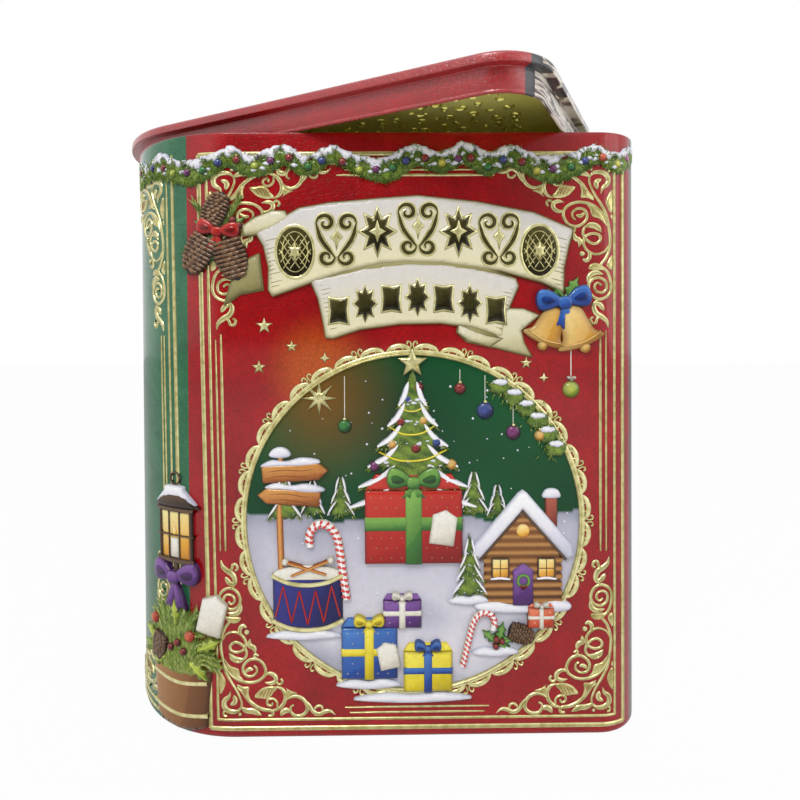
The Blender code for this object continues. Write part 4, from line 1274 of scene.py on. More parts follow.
def lattice_oval(x, y, wide, tall, level):
    """A gold oval ring round a dark lattice with a star on it."""
    pad(banner_dark, oval(x, y, wide, tall), GOLD_DARK, 0.2, 0.6, level)
    for turn in (55, 125):
        slope = radians(turn)
        for k in (-2, -1, 0, 1, 2):
            u = x + k * LATTICE_MM
            reach = 0.82 * tall * sqrt(max(0.05, 1 - (k * LATTICE_MM / wide) ** 2))
            ends = [(u - reach * cos(slope), y - reach * sin(slope)),
                    (u + reach * cos(slope), y + reach * sin(slope))]
            inside = [p for p in through(ends, 0.5, smooth=False)
                      if ((p[0] - x) / (wide - 0.8)) ** 2 + ((p[1] - y) / (tall - 0.8)) ** 2 < 1]
            if len(inside) > 4:
                bar(banner_gold, [tuple(inside[0]), tuple(inside[-1])], 0.42, 0.25, (1, 1),
                    level=level + 0.15, step=0.9)
    for size, width in ((0.0, 1.25), (2.1, 0.5)):
        rim = oval(x, y, wide - size, tall - size)
        stroke(banner_gold, rim + rim[:2], width, 0.5, (1, 1), level=level)
    plate(banner_gold, tall_star(x, y, 2.6, 3.6, 6, 0.5), GOLD_INK, 0.5, 0.8, level + 0.5, step=0.5)


def lyre(x, y, size, level):
    """A mirrored pair of scrolls round a drop, in dark and gold."""
    for flip in (1, -1):
        upper = spiral((x + flip * size * 0.40, y + size * 0.62), size * 0.34, size * 0.08, 90 - 90 * flip,
                       1.15, flip < 0)
        lower = spiral((x + flip * size * 0.36, y - size * 0.66), size * 0.30, size * 0.08, 90 + 90 * flip,
                       1.1, flip < 0)
        stem = [(x + flip * size * 0.74, y + size * 0.62), (x + flip * size * 0.55, y),
                (x + flip * size * 0.06, y - size * 0.66)]
        for path in (upper, lower, stem):
            stroke(banner_gold, path, size * 0.27, 0.55, (0.7, 0.7), 0.4, level=level, step=0.5)
            stroke(banner_dark, path, size * 0.12, 0.25, (0.5, 0.5), 0.5, level=level + 0.45, ink=GOLD_DARK,
                   step=0.5)
    plate(banner_gold, tall_star(x, y + size * 0.1, size * 0.26, size * 0.6, 4, 0.45), GOLD_INK, 0.5, 0.8,
          level, step=0.5)


banner_gold = new_relief()
banner_dark = new_relief()
for i in range(7):
    x, y = on_bow((i + 0.5) / 7, 160.0, 13.2, 15.0, 110.0)
    if i % 2 == 1:
        lyre(x, y, 8.9, 1.65)
    elif i in (0, 6):
        lattice_oval(x, y, 6.3, 8.8, 1.65)
    else:
        plate(banner_gold, tall_star(x, y, 7.2, 9.4, 8, 0.58), GOLD_INK, 0.55, 0.9, 1.6, step=0.7)
        plate(banner_dark, tall_star(x, y, 5.7, 7.8, 8, 0.56), GOLD_DARK, 0.35, 0.7, 2.0, step=0.6)
        plate(banner_gold, tall_star(x, y, 3.0, 4.2, 4, 0.42), GOLD_INK, 0.4, 0.7, 2.3, step=0.5)
for i in range(7):
    x, y = on_bow((i + 0.5) / 7, 142.6, 7.8, 31.5, 93.0)
    if i % 2 == 0:
        plate(banner_gold, tall_star(x, y, 5.4, 7.2, 4, 0.62, 45), GOLD_INK, 0.5, 0.8, 1.3, step=0.6)
        plate(banner_dark, tall_star(x, y, 4.4, 6.1, 4, 0.60, 45), GOLD_DARK, 0.4, 0.7, 1.65, step=0.5)
    else:
        plate(banner_gold, tall_star(x, y, 4.7, 7.0, 8, 0.66), GOLD_INK, 0.5, 0.8, 1.3, step=0.6)
        plate(banner_dark, tall_star(x, y, 3.8, 6.0, 8, 0.64), GOLD_DARK, 0.4, 0.7, 1.65, step=0.5)
finish_relief(banner_gold, "banner_gold_ornament", gold)
finish_relief(banner_dark, "banner_dark_ornament", gold)

# %% [markdown]
# ## Fir garland
# A snowy fir garland hangs across the cover, over the bend of the spine and over the fore
# corner. It is a rough green body with some three thousand needles on it. Hair would stand
# off the sheet, while a real die presses low ridges, so each needle is a sliver of relief.

# %% Fir garland
GARLAND_TOP = [(-78, 198), (-72, 201), (-66, 198.4), (-60, 200.6), (-53, 198.8), (-45.5, 202.6),
               (-35.4, 198.9), (-26.4, 201.3), (-21.3, 199), (-16.8, 197.4), (-11.4, 197.2), (-7.7, 198.2),
               (-3.6, 198.9), (1, 201.2), (5.5, 198.9), (9, 198.3), (13.6, 200.5), (17, 201.7),
               (21.6, 200.3), (24.5, 198), (27.4, 198.3), (30.8, 200.3), (34.3, 201.4), (38.3, 199.9),
               (42.3, 198.2), (48.1, 197.1), (52.7, 197.9), (56.6, 200), (62, 202), (66, 200.3), (70, 199),
               (74.1, 201), (78.1, 202.7), (82.1, 201), (86.8, 199), (90.2, 200.3), (94.2, 201.6),
               (98.6, 199.9), (103.6, 197.8), (107, 197.9), (110.4, 198.3), (115.4, 199.1), (117.1, 200.2),
               (119.8, 201.2), (121.5, 201.6), (123.9, 200.9), (126.2, 199.6), (128.3, 199.1), (131, 199.4),
               (133.4, 200.8), (136.5, 202.3), (139.5, 202.8), (142.6, 202)]
GARLAND_LOW = [(-78, 196), (-72, 191), (-66, 194.5), (-60, 190.5), (-53, 193.5), (-45.5, 192),
               (-34.7, 192.9), (-28, 192.8), (-21.9, 190.9), (-14.6, 188.4), (-8.7, 189.4), (-4.2, 191.8),
               (-0.2, 194.1), (4.1, 191.8), (8.8, 190.8), (13.8, 192.1), (18.1, 194.4), (21.8, 192.4),
               (25.5, 191.1), (29.8, 192.7), (33.5, 195), (38.2, 193.7), (43.2, 191), (51.2, 188.7),
               (56.6, 190.7), (61.6, 194.3), (66, 193), (71, 192), (75.4, 193.6), (78.4, 195), (82.1, 192.6),
               (85.8, 190.9), (90.2, 192.6), (93.5, 194.3), (98.6, 191.6), (107.7, 188.5), (115.4, 190.5),
               (121.2, 193.9), (123.9, 195.2), (127.2, 193), (131.5, 192), (135.7, 194.1), (139, 196.6),
               (142.6, 199.5)]
BEND_PLACES = (-62, -50, -38, 124, 134, 143)
BEND_SHARES = (0.5, 0.35, 1.0, 1.0, 0.4, 0.15)
LONG_NEEDLES, SHORT_NEEDLES = 2300, 620
# Needle inks run dark, mid, light: painted shade at the foot and painted highlight on the ridge.
FIR_SHADES = [("#2E4A18", "#54782C", "#7E9E3E"), ("#3E5E20", "#6C9034", "#9CB44C"),
              ("#50702A", "#88A444", "#BCCA6C"), ("#64802E", "#A4B654", "#DCE092")]


def fir_patch(x, y, d):
    """Mottled fir green, with painted shade darkening the edge of its pad."""
    t = 0.5 + 0.25 * sin(x * 0.9 + y * 1.7) + 0.25 * sin(x * 0.37 - y * 0.8 + 2)
    colour = blend_inks(linear("#3A5C22"), linear("#8CA63C"), t)
    return blend_inks(linear("#24401A"), colour, min(1.0, 0.3 + d / 1.6))


def thin_at_bends(along, height, out):
    """The pressing gets shallow where the sheet bends, so the garland does too."""
    share = float(np.interp(along, BEND_PLACES, BEND_SHARES))
    return to_wall(along, height, out * share if out > 0 else out)


top_x, top_y = np.array(GARLAND_TOP).T
low_x, low_y = np.array(GARLAND_LOW).T
garland = new_relief(thin_at_bends)
outline = [(x, y - 1.2) for x, y in GARLAND_TOP] + GARLAND_LOW[::-1]
pad(garland, roughen(outline, 0.35, 1.3), fir_patch, rise=1.15, soft=2.4, step=1.0)
for _ in range(LONG_NEEDLES):
    x = between(-77, 142)
    upper, lower = float(np.interp(x, top_x, top_y)), float(np.interp(x, low_x, low_y))
    t = chance.random() ** 0.85
    y = upper - 1.0 + (lower - upper + 1.4) * t
    slope = radians(-90 + chance.gauss(0, 38))
    shades = FIR_SHADES[min(3, int(chance.random() * 2.2 + (1 - t) * 1.6))]
    depth = min(upper - y, y - lower)
    needle(garland, x, y, slope, between(1.3, 2.4), between(0.35, 0.6),
           0.75 + min(0.5, max(0.0, depth) * 0.25), shades)
for _ in range(SHORT_NEEDLES):
    x = between(-77, 142)
    y = float(np.interp(x, top_x, top_y)) - between(0.4, 4.4)
    slope = radians(chance.choice((-90, 90)) + chance.gauss(0, 42))
    needle(garland, x, y, slope, between(1.0, 2.2), between(0.3, 0.5), 1.66, FIR_SHADES[chance.randrange(3)])
finish_relief(garland, "garland_fir", fir_ink)

# %% [markdown]
# ## Snow and baubles on the garland
# Snow lies along the top of the garland as one thick uneven edge, with loose lumps below it.
# The baubles are half balls pressed up from the sheet, each with a small gold cap.

# %% Garland snow and baubles
SNOW_LUMPS = 150
snow = new_relief(thin_at_bends)
under = []
for x in np.arange(-77.5, 142.4, 0.9):
    upper, lower = float(np.interp(x, top_x, top_y)), float(np.interp(x, low_x, low_y))
    wave = 0.5 + 0.5 * sin(x * 1.05 + 1.6 * sin(x * 0.31))
    thick = min(upper - lower - 2.0, 1.5 + 2.1 * wave + between(-0.9, 0.9))
    under.append((float(x), upper - max(0.9, thick)))
cap = roughen(GARLAND_TOP, 0.4, 0.8, closed=False) + under[::-1]
plate(snow, cap, SNOW, rise=1.0, soft=1.4, level=0.75, step=0.8, lit=(0.0, 0.6))
for _ in range(SNOW_LUMPS):
    x = between(-76, 140)
    upper, lower = float(np.interp(x, top_x, top_y)), float(np.interp(x, low_x, low_y))
    y = upper - between(3.5, 6.5)
    if y > lower + 1.5:
        size = between(0.3, 1.3)
        blob = roughen([(x - size, y), (x, y + size * 0.55), (x + size, y), (x, y - size * 0.5)], 0.2, 0.6)
        pad(snow, blob, SNOW, rise=0.45, soft=0.7, level=1.2, step=0.5)
finish_relief(snow, "garland_snow", snow_ink)
BAUBLES = [(-68, 195.4, "red"), (-59, 196.2, "yellow"), (-51, 196, "green"), (-42, 197.4, "red"),
           (-30.4, 196.7, "blue"), (-24.2, 195.7, "red"), (-19.6, 193.3, "lime"), (-13.8, 192.9, "purple"),
           (-7.9, 193.2, "green"), (-2.8, 195.5, "blue"), (3.2, 196.4, "red"), (9, 194.4, "lime"),
           (14.2, 196.1, "purple"), (20.2, 197.1, "red"), (26.3, 194.1, "green"), (30.8, 196.1, "blue"),
           (37.5, 195.7, "red"), (43, 193, "lime"), (48.6, 193.2, "purple"), (54.2, 193.7, "green"),
           (58.6, 196, "blue"), (65, 197, "red"), (70.7, 195.3, "yellow"), (76.1, 196.6, "purple"),
           (80.4, 197, "red"), (86.1, 193.9, "green"), (91.2, 196.3, "blue"), (97.6, 195.6, "red"),
           (102.6, 192.6, "yellow"), (108, 193.2, "purple"), (114.1, 193.9, "green"), (118.8, 195.9, "blue"),
           (124.8, 197.2, "orange"), (130.4, 195.3, "yellow"), (135.6, 198.2, "magenta")]
baubles = new_relief(thin_at_bends)
for x, y, name in BAUBLES:
    ball(baubles, x, y, 1.55, BALL_INKS[name], level=0.8, rise=1.25)
    stroke(baubles, [(x - 0.25, y + 1.3), (x + 0.1, y + 2.0)], 0.5, 0.3, (1, 1), level=1.0, step=0.3)
finish_relief(baubles, "garland_baubles", bauble_ink)

# %% [markdown]
# ## Winter motifs
# The picture is a plain winter scene of common things: a decorated fir, a cabin, presents, a
# drum, a signpost, bells, cones and a lantern in a tub of fir. What comes more than once is
# a small function that stacks pads and strokes, low layers first, so it can be set anywhere.

# %% Motif colours, bow and present
# Each triple runs dark, mid, light: pads and strokes use them as painted shade and painted highlight.
RED = ("#5A0606", "#A8120E", "#CC3426")
DEEP_GREEN = ("#1C3E1A", "#3E7A2E", "#8ABA56")
BLUE = ("#0C2058", "#1C489C", "#4C82CC")
NAVY = ("#0A0A38", "#1A1660", "#34348A")
PURPLE = ("#2A1038", "#5A2A7A", "#8E62AC")
YELLOW = ("#8A7A10", "#E4CC18", "#FFF05A")
BROWN = ("#3A2010", "#7E4C22", "#B98248")
ORANGE_BROWN = ("#5A2C0C", "#AE6222", "#E4A458")
DARK_WOOD = ("#1C120C", "#3E2A1C", "#6E523A")
LIME = ("#3E5410", "#8A9E22", "#CCD85A")
PAPER = ("#A8A290", "#E8E2D2", "#FAF7EE")
LIT_GLASS = ("#B05A10", "#F4B43A", "#FFF2A8")
TOP_SHOWN = 0.16
DOT_PITCH = 3.4


def placed(points, along, height, size=1.0, turn=0.0, flip=1):
    """Points of a unit drawing, scaled, mirrored, turned in degrees and moved."""
    c, s = cos(radians(turn)), sin(radians(turn))
    moved = []
    for x, y in points:
        x, y = x * size * flip, y * size
        moved.append((along + c * x - s * y, height + s * x + c * y))
    return moved


def bow(relief, along, height, size, ink, level, turn=0.0, tails=1.0):
    """A tied ribbon bow: two tails, two loops and a knot."""
    for flip in (1, -1):
        tail = [(0.05, 0.0), (0.55, -1.0 * tails), (0.3, -0.92 * tails), (0.12, -1.15 * tails), (-0.12, -0.1)]
        plate(relief, placed(tail, along, height, size, turn, flip), ink, 0.45, 0.8, level, step=0.6)
    for flip in (1, -1):
        loop = [(0.05, 0.05), (0.45, 0.5), (0.95, 0.62), (1.15, 0.2), (1.0, -0.22), (0.5, -0.2)]
        pad(relief, placed(loop, along, height, size, turn, flip), ink, 0.7, 1.2, level + 0.2, step=0.6)
        # Painted shade: a dark pad in the hollow of each loop.
        hollow = [(0.35, 0.12), (0.7, 0.34), (0.95, 0.28), (0.9, 0.02), (0.6, -0.04)]
        dark = (ink[0], ink[0], ink[1])
        pad(relief, placed(hollow, along, height, size, turn, flip), dark, 0.12, 0.4, level + 0.85, step=0.6)
    knot = [(0.24, 0.2), (-0.24, 0.2), (-0.24, -0.22), (0.24, -0.22)]
    pad(relief, placed(knot, along, height, size, turn), ink, 0.7, 0.8, level + 0.5, step=0.5)


def gift(relief, along, height, wide, tall, ink, ribbon, level):
    """A wrapped box seen a little from above, with crossed ribbon and a bow."""
    left, right = along - wide / 2, along + wide / 2
    lift = wide * TOP_SHOWN
    lid = [(left, height + tall), (right, height + tall), (right - lift * 0.7, height + tall + lift),
           (left + lift * 0.7, height + tall + lift)]
    # Painted light: the top face takes the two lighter inks, so it reads as lit from above.
    plate(relief, lid, (ink[1], ink[2], ink[2]), 0.5, 0.7, level)
    front = [(left, height), (right, height), (right, height + tall), (left, height + tall)]
    plate(relief, front, ink, 0.9, 1.2, level + 0.1, lit=(-0.4, 0.8))
    band = wide * 0.085
    across = height + tall * 0.45
    flat = [(left, across), (right, across), (right, across + 1.7 * band), (left, across + 1.7 * band)]
    plate(relief, flat, ribbon, 0.25, 0.5, level + 0.9, step=0.8)
    upright = [(along - band, height), (along + band, height), (along + band, height + tall),
               (along - band, height + tall)]
    plate(relief, upright, ribbon, 0.35, 0.5, level + 0.95, step=0.8)
    for row in range(int(tall / DOT_PITCH)):
        for column in range(int(wide / DOT_PITCH)):
            x = left + 2.2 + DOT_PITCH * column + (DOT_PITCH / 2 if row % 2 else 0)
            y = height + 2.2 + DOT_PITCH * row
            clear = abs(x - along) > band + 0.9 and not across - 0.9 < y < across + 1.7 * band + 0.9
            if clear and x < right - 1.2 and y < height + tall - 1.0:
                dot = star_outline(x, y, 0.75, 4, 0.45)
                plate(relief, dot, (ink[2], ribbon[2], ribbon[2]), 0.12, 0.4, level + 0.93, step=0.5)
    bow(relief, along, height + tall + lift * 0.5, wide * 0.24, ribbon, level + 0.9, tails=0.7)


print("motif helpers:", placed.__name__, bow.__name__, gift.__name__)

# %% [markdown]
# ## A snowy fir
# The printed firs are tiers of hanging branches. Each tier is a rough pad with needles that
# fan out from the stem, and snow along its two lower edges. Random draws keep two trees of
# one size from looking alike.

# %% Snowy fir
def fir_tree(green, white, along, height, wide, tall, tiers, level, needles=9):
    """A snowy fir of drooping tiers, drawn from the lowest to the top."""
    for k in range(tiers):
        share = k / tiers
        low = height + tall * share * 0.86
        high = low + tall / tiers * 1.85
        half = wide / 2 * (1 - share) ** 0.85
        scallop = []
        for i in range(9):
            t = i / 8
            scallop.append((along - half + 2 * half * t,
                            low + (1.1 if i % 2 else 0.0) + 1.6 * (1 - abs(2 * t - 1)) * -0.6))
        waist = (low + high) / 2 - 0.8
        body = [(along, min(high, height + tall)), (along - half * 0.5, waist), *scallop,
                (along + half * 0.5, waist)]
        out = level + 0.16 * k
        pad(green, roughen(body, 0.3, 1.1, smooth=False), fir_patch, 0.75, 1.6, out, step=1.0)
        for _ in range(int(half * needles)):
            x = along + between(-1, 1) * half
            top = low + (high - low) * (1 - abs(x - along) / half) * 0.8
            y = between(low, max(low + 0.5, top))
            angle = radians(-90 + (x - along) / half * 55 + chance.gauss(0, 14))
            needle(green, x, y, angle, between(1.2, 2.4), 0.5, out + 0.65, FIR_SHADES[chance.randrange(4)])
        for flip in (1, -1):
            edge = [(along + flip * half * 0.30, (low + high) / 2 + 1.2),
                    (along + flip * half * 0.62, low + 3.6), (along + flip * half * 1.02, low + 0.5)]
            thick = min(1.4, 0.25 + wide * 0.032)
            stroke(white, edge, thick, 0.4, (0.2, 0.5), 0.5, out + 0.6, ink=SNOW, step=0.7)
            for _ in range(4):
                u, v = along + flip * half * between(0.05, 0.85), low + between(0.8, 3.0)
                size = between(0.35, 0.75) * thick
                pad(white, roughen(disc_outline(u, v, size, 8, 0.55), 0.12, 0.5), SNOW, 0.3, 0.6, out + 0.7,
                    step=0.5)


print("motif helper:", fir_tree.__name__)

# %% [markdown]
# ## Holly, cones, bells and canes
# These are drawn one unit long and then placed, scaled, mirrored and turned, as a printer
# would paste up the same small drawing in several places.

# %% Holly, cone, bell and cane
def holly_leaf(relief, along, height, size, turn, level, ink=DEEP_GREEN):
    """A spiny leaf with a raised rib."""
    half = [(0, 0), (0.14, 0.14), (0.26, 0.09), (0.4, 0.25), (0.52, 0.13), (0.68, 0.22), (0.78, 0.09),
            (1.0, 0)]
    outline = half + [(x, -y) for x, y in half[-2:0:-1]]
    plate(relief, placed(outline, along, height, size, turn), ink, 0.6, 0.9, level, step=0.55)
    rib = placed([(0.08, 0), (0.9, 0)], along, height, size, turn)
    stroke(relief, rib, 0.4, 0.2, (0.7, 0.3), level=level + 0.5, ink=(ink[1], ink[2], ink[2]), step=0.8)


def pine_cone(relief, along, height, size, turn, level):
    """A hanging cone: staggered rows of pointed scales, the upper ones over the lower ones."""
    body = [(0, 0.1), (0.24, 0.04), (0.36, -0.25), (0.3, -0.65), (0.0, -1.0), (-0.3, -0.65), (-0.36, -0.25),
            (-0.24, 0.04)]
    pad(relief, placed(body, along, height, size, turn), ("#160A06", "#2A160C", "#3A2214"), 0.7, 2.2, level,
        step=0.8)
    for row in range(9):
        y = -0.86 + row * 0.108
        half = 0.37 * sqrt(max(0.05, 1 - ((y + 0.36) / 0.62) ** 2))
        count = max(1, round(half / 0.1)) + row % 2
        wide = 1.25 * half / count
        for i in range(count):
            x = (i - (count - 1) / 2) * 2 * half / count
            low = y - 0.115 + 0.10 * abs(x) / 0.37
            shape = [(x - wide, y + 0.05), (x - wide * 0.95, y - 0.03), (x, low),
                     (x + wide * 0.95, y - 0.03), (x + wide, y + 0.05)]
            brown = ("#20100A", "#6E4A2C", "#A88058") if (row + i) % 3 else ("#1C0E08", "#5E3C22", "#94704A")
            plate(relief, placed(shape, along, height, size, turn), brown, 0.42, 0.55,
                  level + 0.6 + 0.035 * row, step=0.6)


def bell(relief, along, height, size, turn, level):
    """A gold bell with a clapper and a rim line."""
    ink = BALL_INKS["gold"]
    shape = [(-0.14, 1.0), (0.14, 1.0), (0.34, 0.82), (0.42, 0.45), (0.5, 0.12), (0.72, -0.1), (0.5, -0.2),
             (0, -0.26), (-0.5, -0.2), (-0.72, -0.1), (-0.5, 0.12), (-0.42, 0.45), (-0.34, 0.82)]
    u, v = placed([(0.05, -0.3)], along, height, size, turn)[0]
    ball(relief, u, v, size * 0.16, ink, level, rise=0.8)
    pad(relief, placed(shape, along, height, size, turn), ink, 1.0, size * 0.4, level + 0.2, step=0.6,
        lit=(-0.9, 0.4))
    rim = placed([(-0.6, -0.02), (0, -0.12), (0.6, -0.02)], along, height, size, turn)
    stroke(relief, rim, 0.55, 0.25, (0.4, 0.4), level=level + 1.1, ink=ink)


def candy_cane(relief, along, height, size, turn, level, flip=1):
    """A hooked cane with slanting stripes."""
    hook = [(0, 0), (0, 0.35), (0, 0.7), (0.03, 0.86), (0.13, 0.97), (0.26, 0.97), (0.35, 0.86), (0.36, 0.72)]
    path = placed(hook, along, height, size, turn, flip)
    stroke(relief, path, size * 0.115, 0.9, (0.9, 0.9), level=level, ink=("#A8A29A", "#F0ECE4", "#FFFFFF"))
    line = through(path, 0.4)
    total = len(line)
    for i in range(1, total - 4, max(4, int(size * 0.19))):
        a, b = line[i], line[min(total - 1, i + 3)]
        way = (b - a) / max(1e-6, float(np.linalg.norm(b - a)))
        side = np.array([-way[1], way[0]]) * size * 0.05
        stroke(relief, [tuple(a - side), tuple((a + b) / 2), tuple(b + side)], size * 0.045, 0.3, (0.8, 0.8),
               level=level + 0.62, ink=("#7A0C12", "#C01C22", "#E85A50"), step=0.4)


print("motif helpers:", holly_leaf.__name__, pine_cone.__name__, bell.__name__, candy_cane.__name__)

# %% [markdown]
# ## The decorated fir
# Trees far off come first, low in the relief. The big fir goes over them with its balls,
# chains and a gold star, and more balls hang from a bough at the ring's edge.

# %% Fir, sky ornaments and far trees
trees = new_relief()
white = new_relief()
toys = new_relief()
for x, y, wide, tall in ((17, 76, 11, 17), (26.5, 77, 8, 12), (36, 76.5, 9, 14), (81, 77, 10, 15),
                         (89, 76, 7, 11)):
    fir_tree(trees, white, x, y, wide, tall, 3, 0.15, 3)
plate(toys, [(58.6, 72), (62.4, 72), (62.0, 82), (58.8, 82)], BROWN, 0.7, 1.0, 0.2, step=0.8)
fir_tree(trees, white, 60.4, 79, 42, 48, 6, 0.35)
TREE_BALLS = [(47.5, 93.5, "purple"), (73.5, 94, "gold"), (53.5, 101, "gold"), (61.5, 99.5, "red"),
              (68.5, 101.5, "blue"), (56.5, 108.5, "red"), (64, 109, "gold"), (59, 116, "blue"),
              (62.4, 120, "red")]
for x, y, name in TREE_BALLS:
    ball(toys, x, y, 1.75, BALL_INKS[name], level=1.0, rise=1.1)
for y, half, sag in ((97, 11.5, 2.4), (105.5, 8, 1.8), (113, 5, 1.2)):
    chain = [(60.4 - half, y + 1.4), (60.4 - half * 0.4, y - sag * 0.6), (60.4 + half * 0.35, y - sag * 0.5),
             (60.4 + half, y + 2)]
    stroke(toys, chain, 0.75, 0.4, (0.5, 0.5), level=1.45, ink=YELLOW, step=0.8)
gilt = new_relief()
plate(gilt, star_outline(60.4, 128.3, 5.4, 5, 0.44), GOLD_INK, 0.9, 1.8, 0.9, step=0.6)
plate(gilt, star_outline(29, 116.5, 6.2, 8, 0.34), GOLD_INK, 0.7, 1.6, 0.3, step=0.6)
for x, y, top, size, name in ((85, 112, 124, 2.9, "blue"), (94.5, 104.5, 117.5, 2.5, "purple"),
                              (37.5, 107, 124, 2.3, "green"), (103.5, 103.5, 109.5, 1.9, "gold"),
                              (76.5, 119.5, 126, 2.0, "red")):
    stroke(toys, [(x, y + size), (x, top)], 0.35, 0.2, (1, 1), level=0.1, ink=PAPER, step=1.5)
    ball(toys, x, y, size, BALL_INKS[name], level=0.2, rise=1.3)
    plate(gilt, [(x - 0.6, y + size - 0.3), (x + 0.6, y + size - 0.3), (x + 0.45, y + size + 0.7),
                 (x - 0.45, y + size + 0.7)], GOLD_INK, 0.4, 0.3, 0.9, step=0.4)
bough = [on_ring(54.6, degrees) for degrees in range(24, 62, 6)]
for i in range(len(bough) - 1):
    (ax, ay), (bx, by) = bough[i], bough[i + 1]
    clump = roughen(disc_outline((ax + bx) / 2, (ay + by) / 2, 3.7, 10, 0.8), 0.5, 1.1)
    pad(trees, clump, fir_patch, 0.7, 1.4, 0.4)
    for _ in range(34):
        u, v = (ax + bx) / 2 + chance.gauss(0, 2.2), (ay + by) / 2 + chance.gauss(0, 1.7)
        needle(trees, u, v, radians(-90 + chance.gauss(0, 50)), between(1.3, 2.6), 0.5, 1.0,
               FIR_SHADES[chance.randrange(4)])
    pad(white, roughen(disc_outline((ax + bx) / 2, (ay + by) / 2 + 1.6, 2.6, 9, 0.4), 0.25, 0.7), SNOW, 0.5,
        0.8, 1.0, step=0.6)
for _ in range(120):
    turn, reach = between(0, TAU), 54 * sqrt(chance.random())
    u, v = RING_ALONG + reach * cos(turn), RING_UP + reach * sin(turn)
    pad(white, disc_outline(u, v, between(0.2, 0.5), 7), SNOW, 0.2, 0.3, 0.12, step=0.3)
print("needles and snow so far:", len(trees["faces"]), len(white["faces"]))

# %% [markdown]
# ## Cabin
# A log cabin with a snowy roof. Its logs are long broad strokes, one above the other, so
# each log is round without any more work, and its windows are lit yellow pads.

# %% Cabin
LOGS = ("#4A2A12", "#8E5A2A", "#C08C4E")
wall_shape = [(84.5, 46), (110.5, 46), (110.5, 66), (97.5, 80), (84.5, 66)]
plate(toys, wall_shape, ("#3A200E", "#6E4420", "#8E5A2C"), 0.7, 1.0, 0.3, step=1.1)
for k in range(11):
    y = 47.4 + 2.75 * k
    cut = max(0.0, y - 66) * 13 / 14
    bar(toys, [(84.2 + cut, y), (110.8 - cut, y)], 2.5, 0.4, (0.9, 0.9), level=0.85, ink=LOGS, step=2.0)
plate(toys, [(105.2, 72), (109.4, 72), (109.4, 83), (105.2, 83)], ("#4E1810", "#8E3A28", "#B8604A"), 0.8,
      0.8, 0.2, step=0.8)
pad(white, [(104.4, 82.4), (110.2, 82.4), (109.6, 84.9), (107.2, 85.6), (105.0, 84.8)], SNOW, 0.6, 0.8, 0.6,
    step=0.7)
roof = [(80.2, 62.8), (80.8, 66.4), (96.0, 84.2), (97.5, 85.2), (99.0, 84.2), (114.2, 66.4), (114.8, 62.8),
        (112.4, 61.6), (97.5, 78.4), (82.6, 61.6)]
plate(white, roof, SNOW, 1.0, 1.6, 0.9)
bar(toys, [(82.9, 61.4), (97.5, 77.8), (112.1, 61.4)], 1.1, 0.5, (1, 1), level=1.0, ink=DARK_WOOD, step=1.5)
for left in (87.0, 102.6):
    pane = [(left, 55.5), (left + 5.6, 55.5), (left + 5.6, 62), (left, 62)]
    plate(toys, pane, LIT_GLASS, 0.3, 0.4, 1.2, step=0.8)
    bar(toys, pane + pane[:1], 0.75, 0.4, (1, 1), level=1.3, ink=DARK_WOOD, step=1.4)
    for a, b in (((left + 2.8, 55.5), (left + 2.8, 62)), ((left, 58.7), (left + 5.6, 58.7))):
        bar(toys, [a, b], 0.4, 0.3, (1, 1), level=1.35, ink=DARK_WOOD, step=1.4)
    stroke(white, [(left - 0.5, 55.2), (left + 2.8, 55.5), (left + 6.1, 55.1)], 1.0, 0.4, (0.6, 0.6),
           level=1.5, ink=SNOW, step=0.8)
pad(toys, disc_outline(97.5, 71.4, 2.3, 14), LIT_GLASS, 0.3, 0.5, 1.2, step=0.6)
plate(toys, [(94.0, 46), (101.0, 46), (101.0, 58.2), (97.5, 60.4), (94.0, 58.2)], PURPLE, 0.5, 0.7, 1.15,
      step=0.8)
wreath = disc_outline(97.5, 54.6, 1.9, 12)
stroke(trees, wreath + wreath[:1], 1.2, 0.6, (1, 1), level=1.6,
       ink=DEEP_GREEN)
bow(toys, 97.5, 52.6, 1.2, RED, 1.9, tails=0.8)
pad(white, [(81, 46.6), (88, 47.6), (94, 46.4), (101, 46.2), (108, 47.8), (113.6, 46.4), (112, 43.8),
            (98, 43.2), (84, 43.8)], SNOW, 0.7, 1.4, 0.8)

print("picture so far:", len(toys["faces"]), "faces of toys,", len(white["faces"]), "of snow")

# %% [markdown]
# ## Presents and toys
# Boxes, a drum, canes and a signpost stand round the fir. What stands nearer is drawn later
# and higher, though a pressing has only about two millimetres for all of it.

# %% Presents and toys in the snow
gift(toys, 60.6, 60.5, 33, 25, RED, DEEP_GREEN, 0.9)
plate(toys, placed([(-4.6, -6), (4.6, -6), (4.6, 4.6), (0, 7), (-4.6, 4.6)], 70.6, 72.5, 0.92, -8), PAPER,
      0.5, 0.9, 1.95, step=0.8)
fir_tree(trees, white, 79.5, 49.5, 11.5, 21, 4, 0.6, 5)
gift(toys, 45.4, 21.5, 19, 17.5, BLUE, YELLOW, 0.7)
gift(toys, 65.2, 17.2, 16.5, 13.5, YELLOW, BLUE, 0.9)
gift(toys, 56.6, 38.5, 13, 9.5, PURPLE, PAPER, 0.45)
plate(toys, placed([(-3.4, -4.2), (3.4, -4.2), (3.4, 3.4), (0, 5), (-3.4, 3.4)], 51.8, 29.4, 1.0, 12), PAPER,
      0.4, 0.8, 1.9, step=0.7)
candy_cane(toys, 76.8, 25.5, 20, -14, 1.0)
candy_cane(toys, 37.8, 48.5, 27, 8, 0.7, flip=-1)
print("with presents:", len(toys["faces"]), "faces of toys")

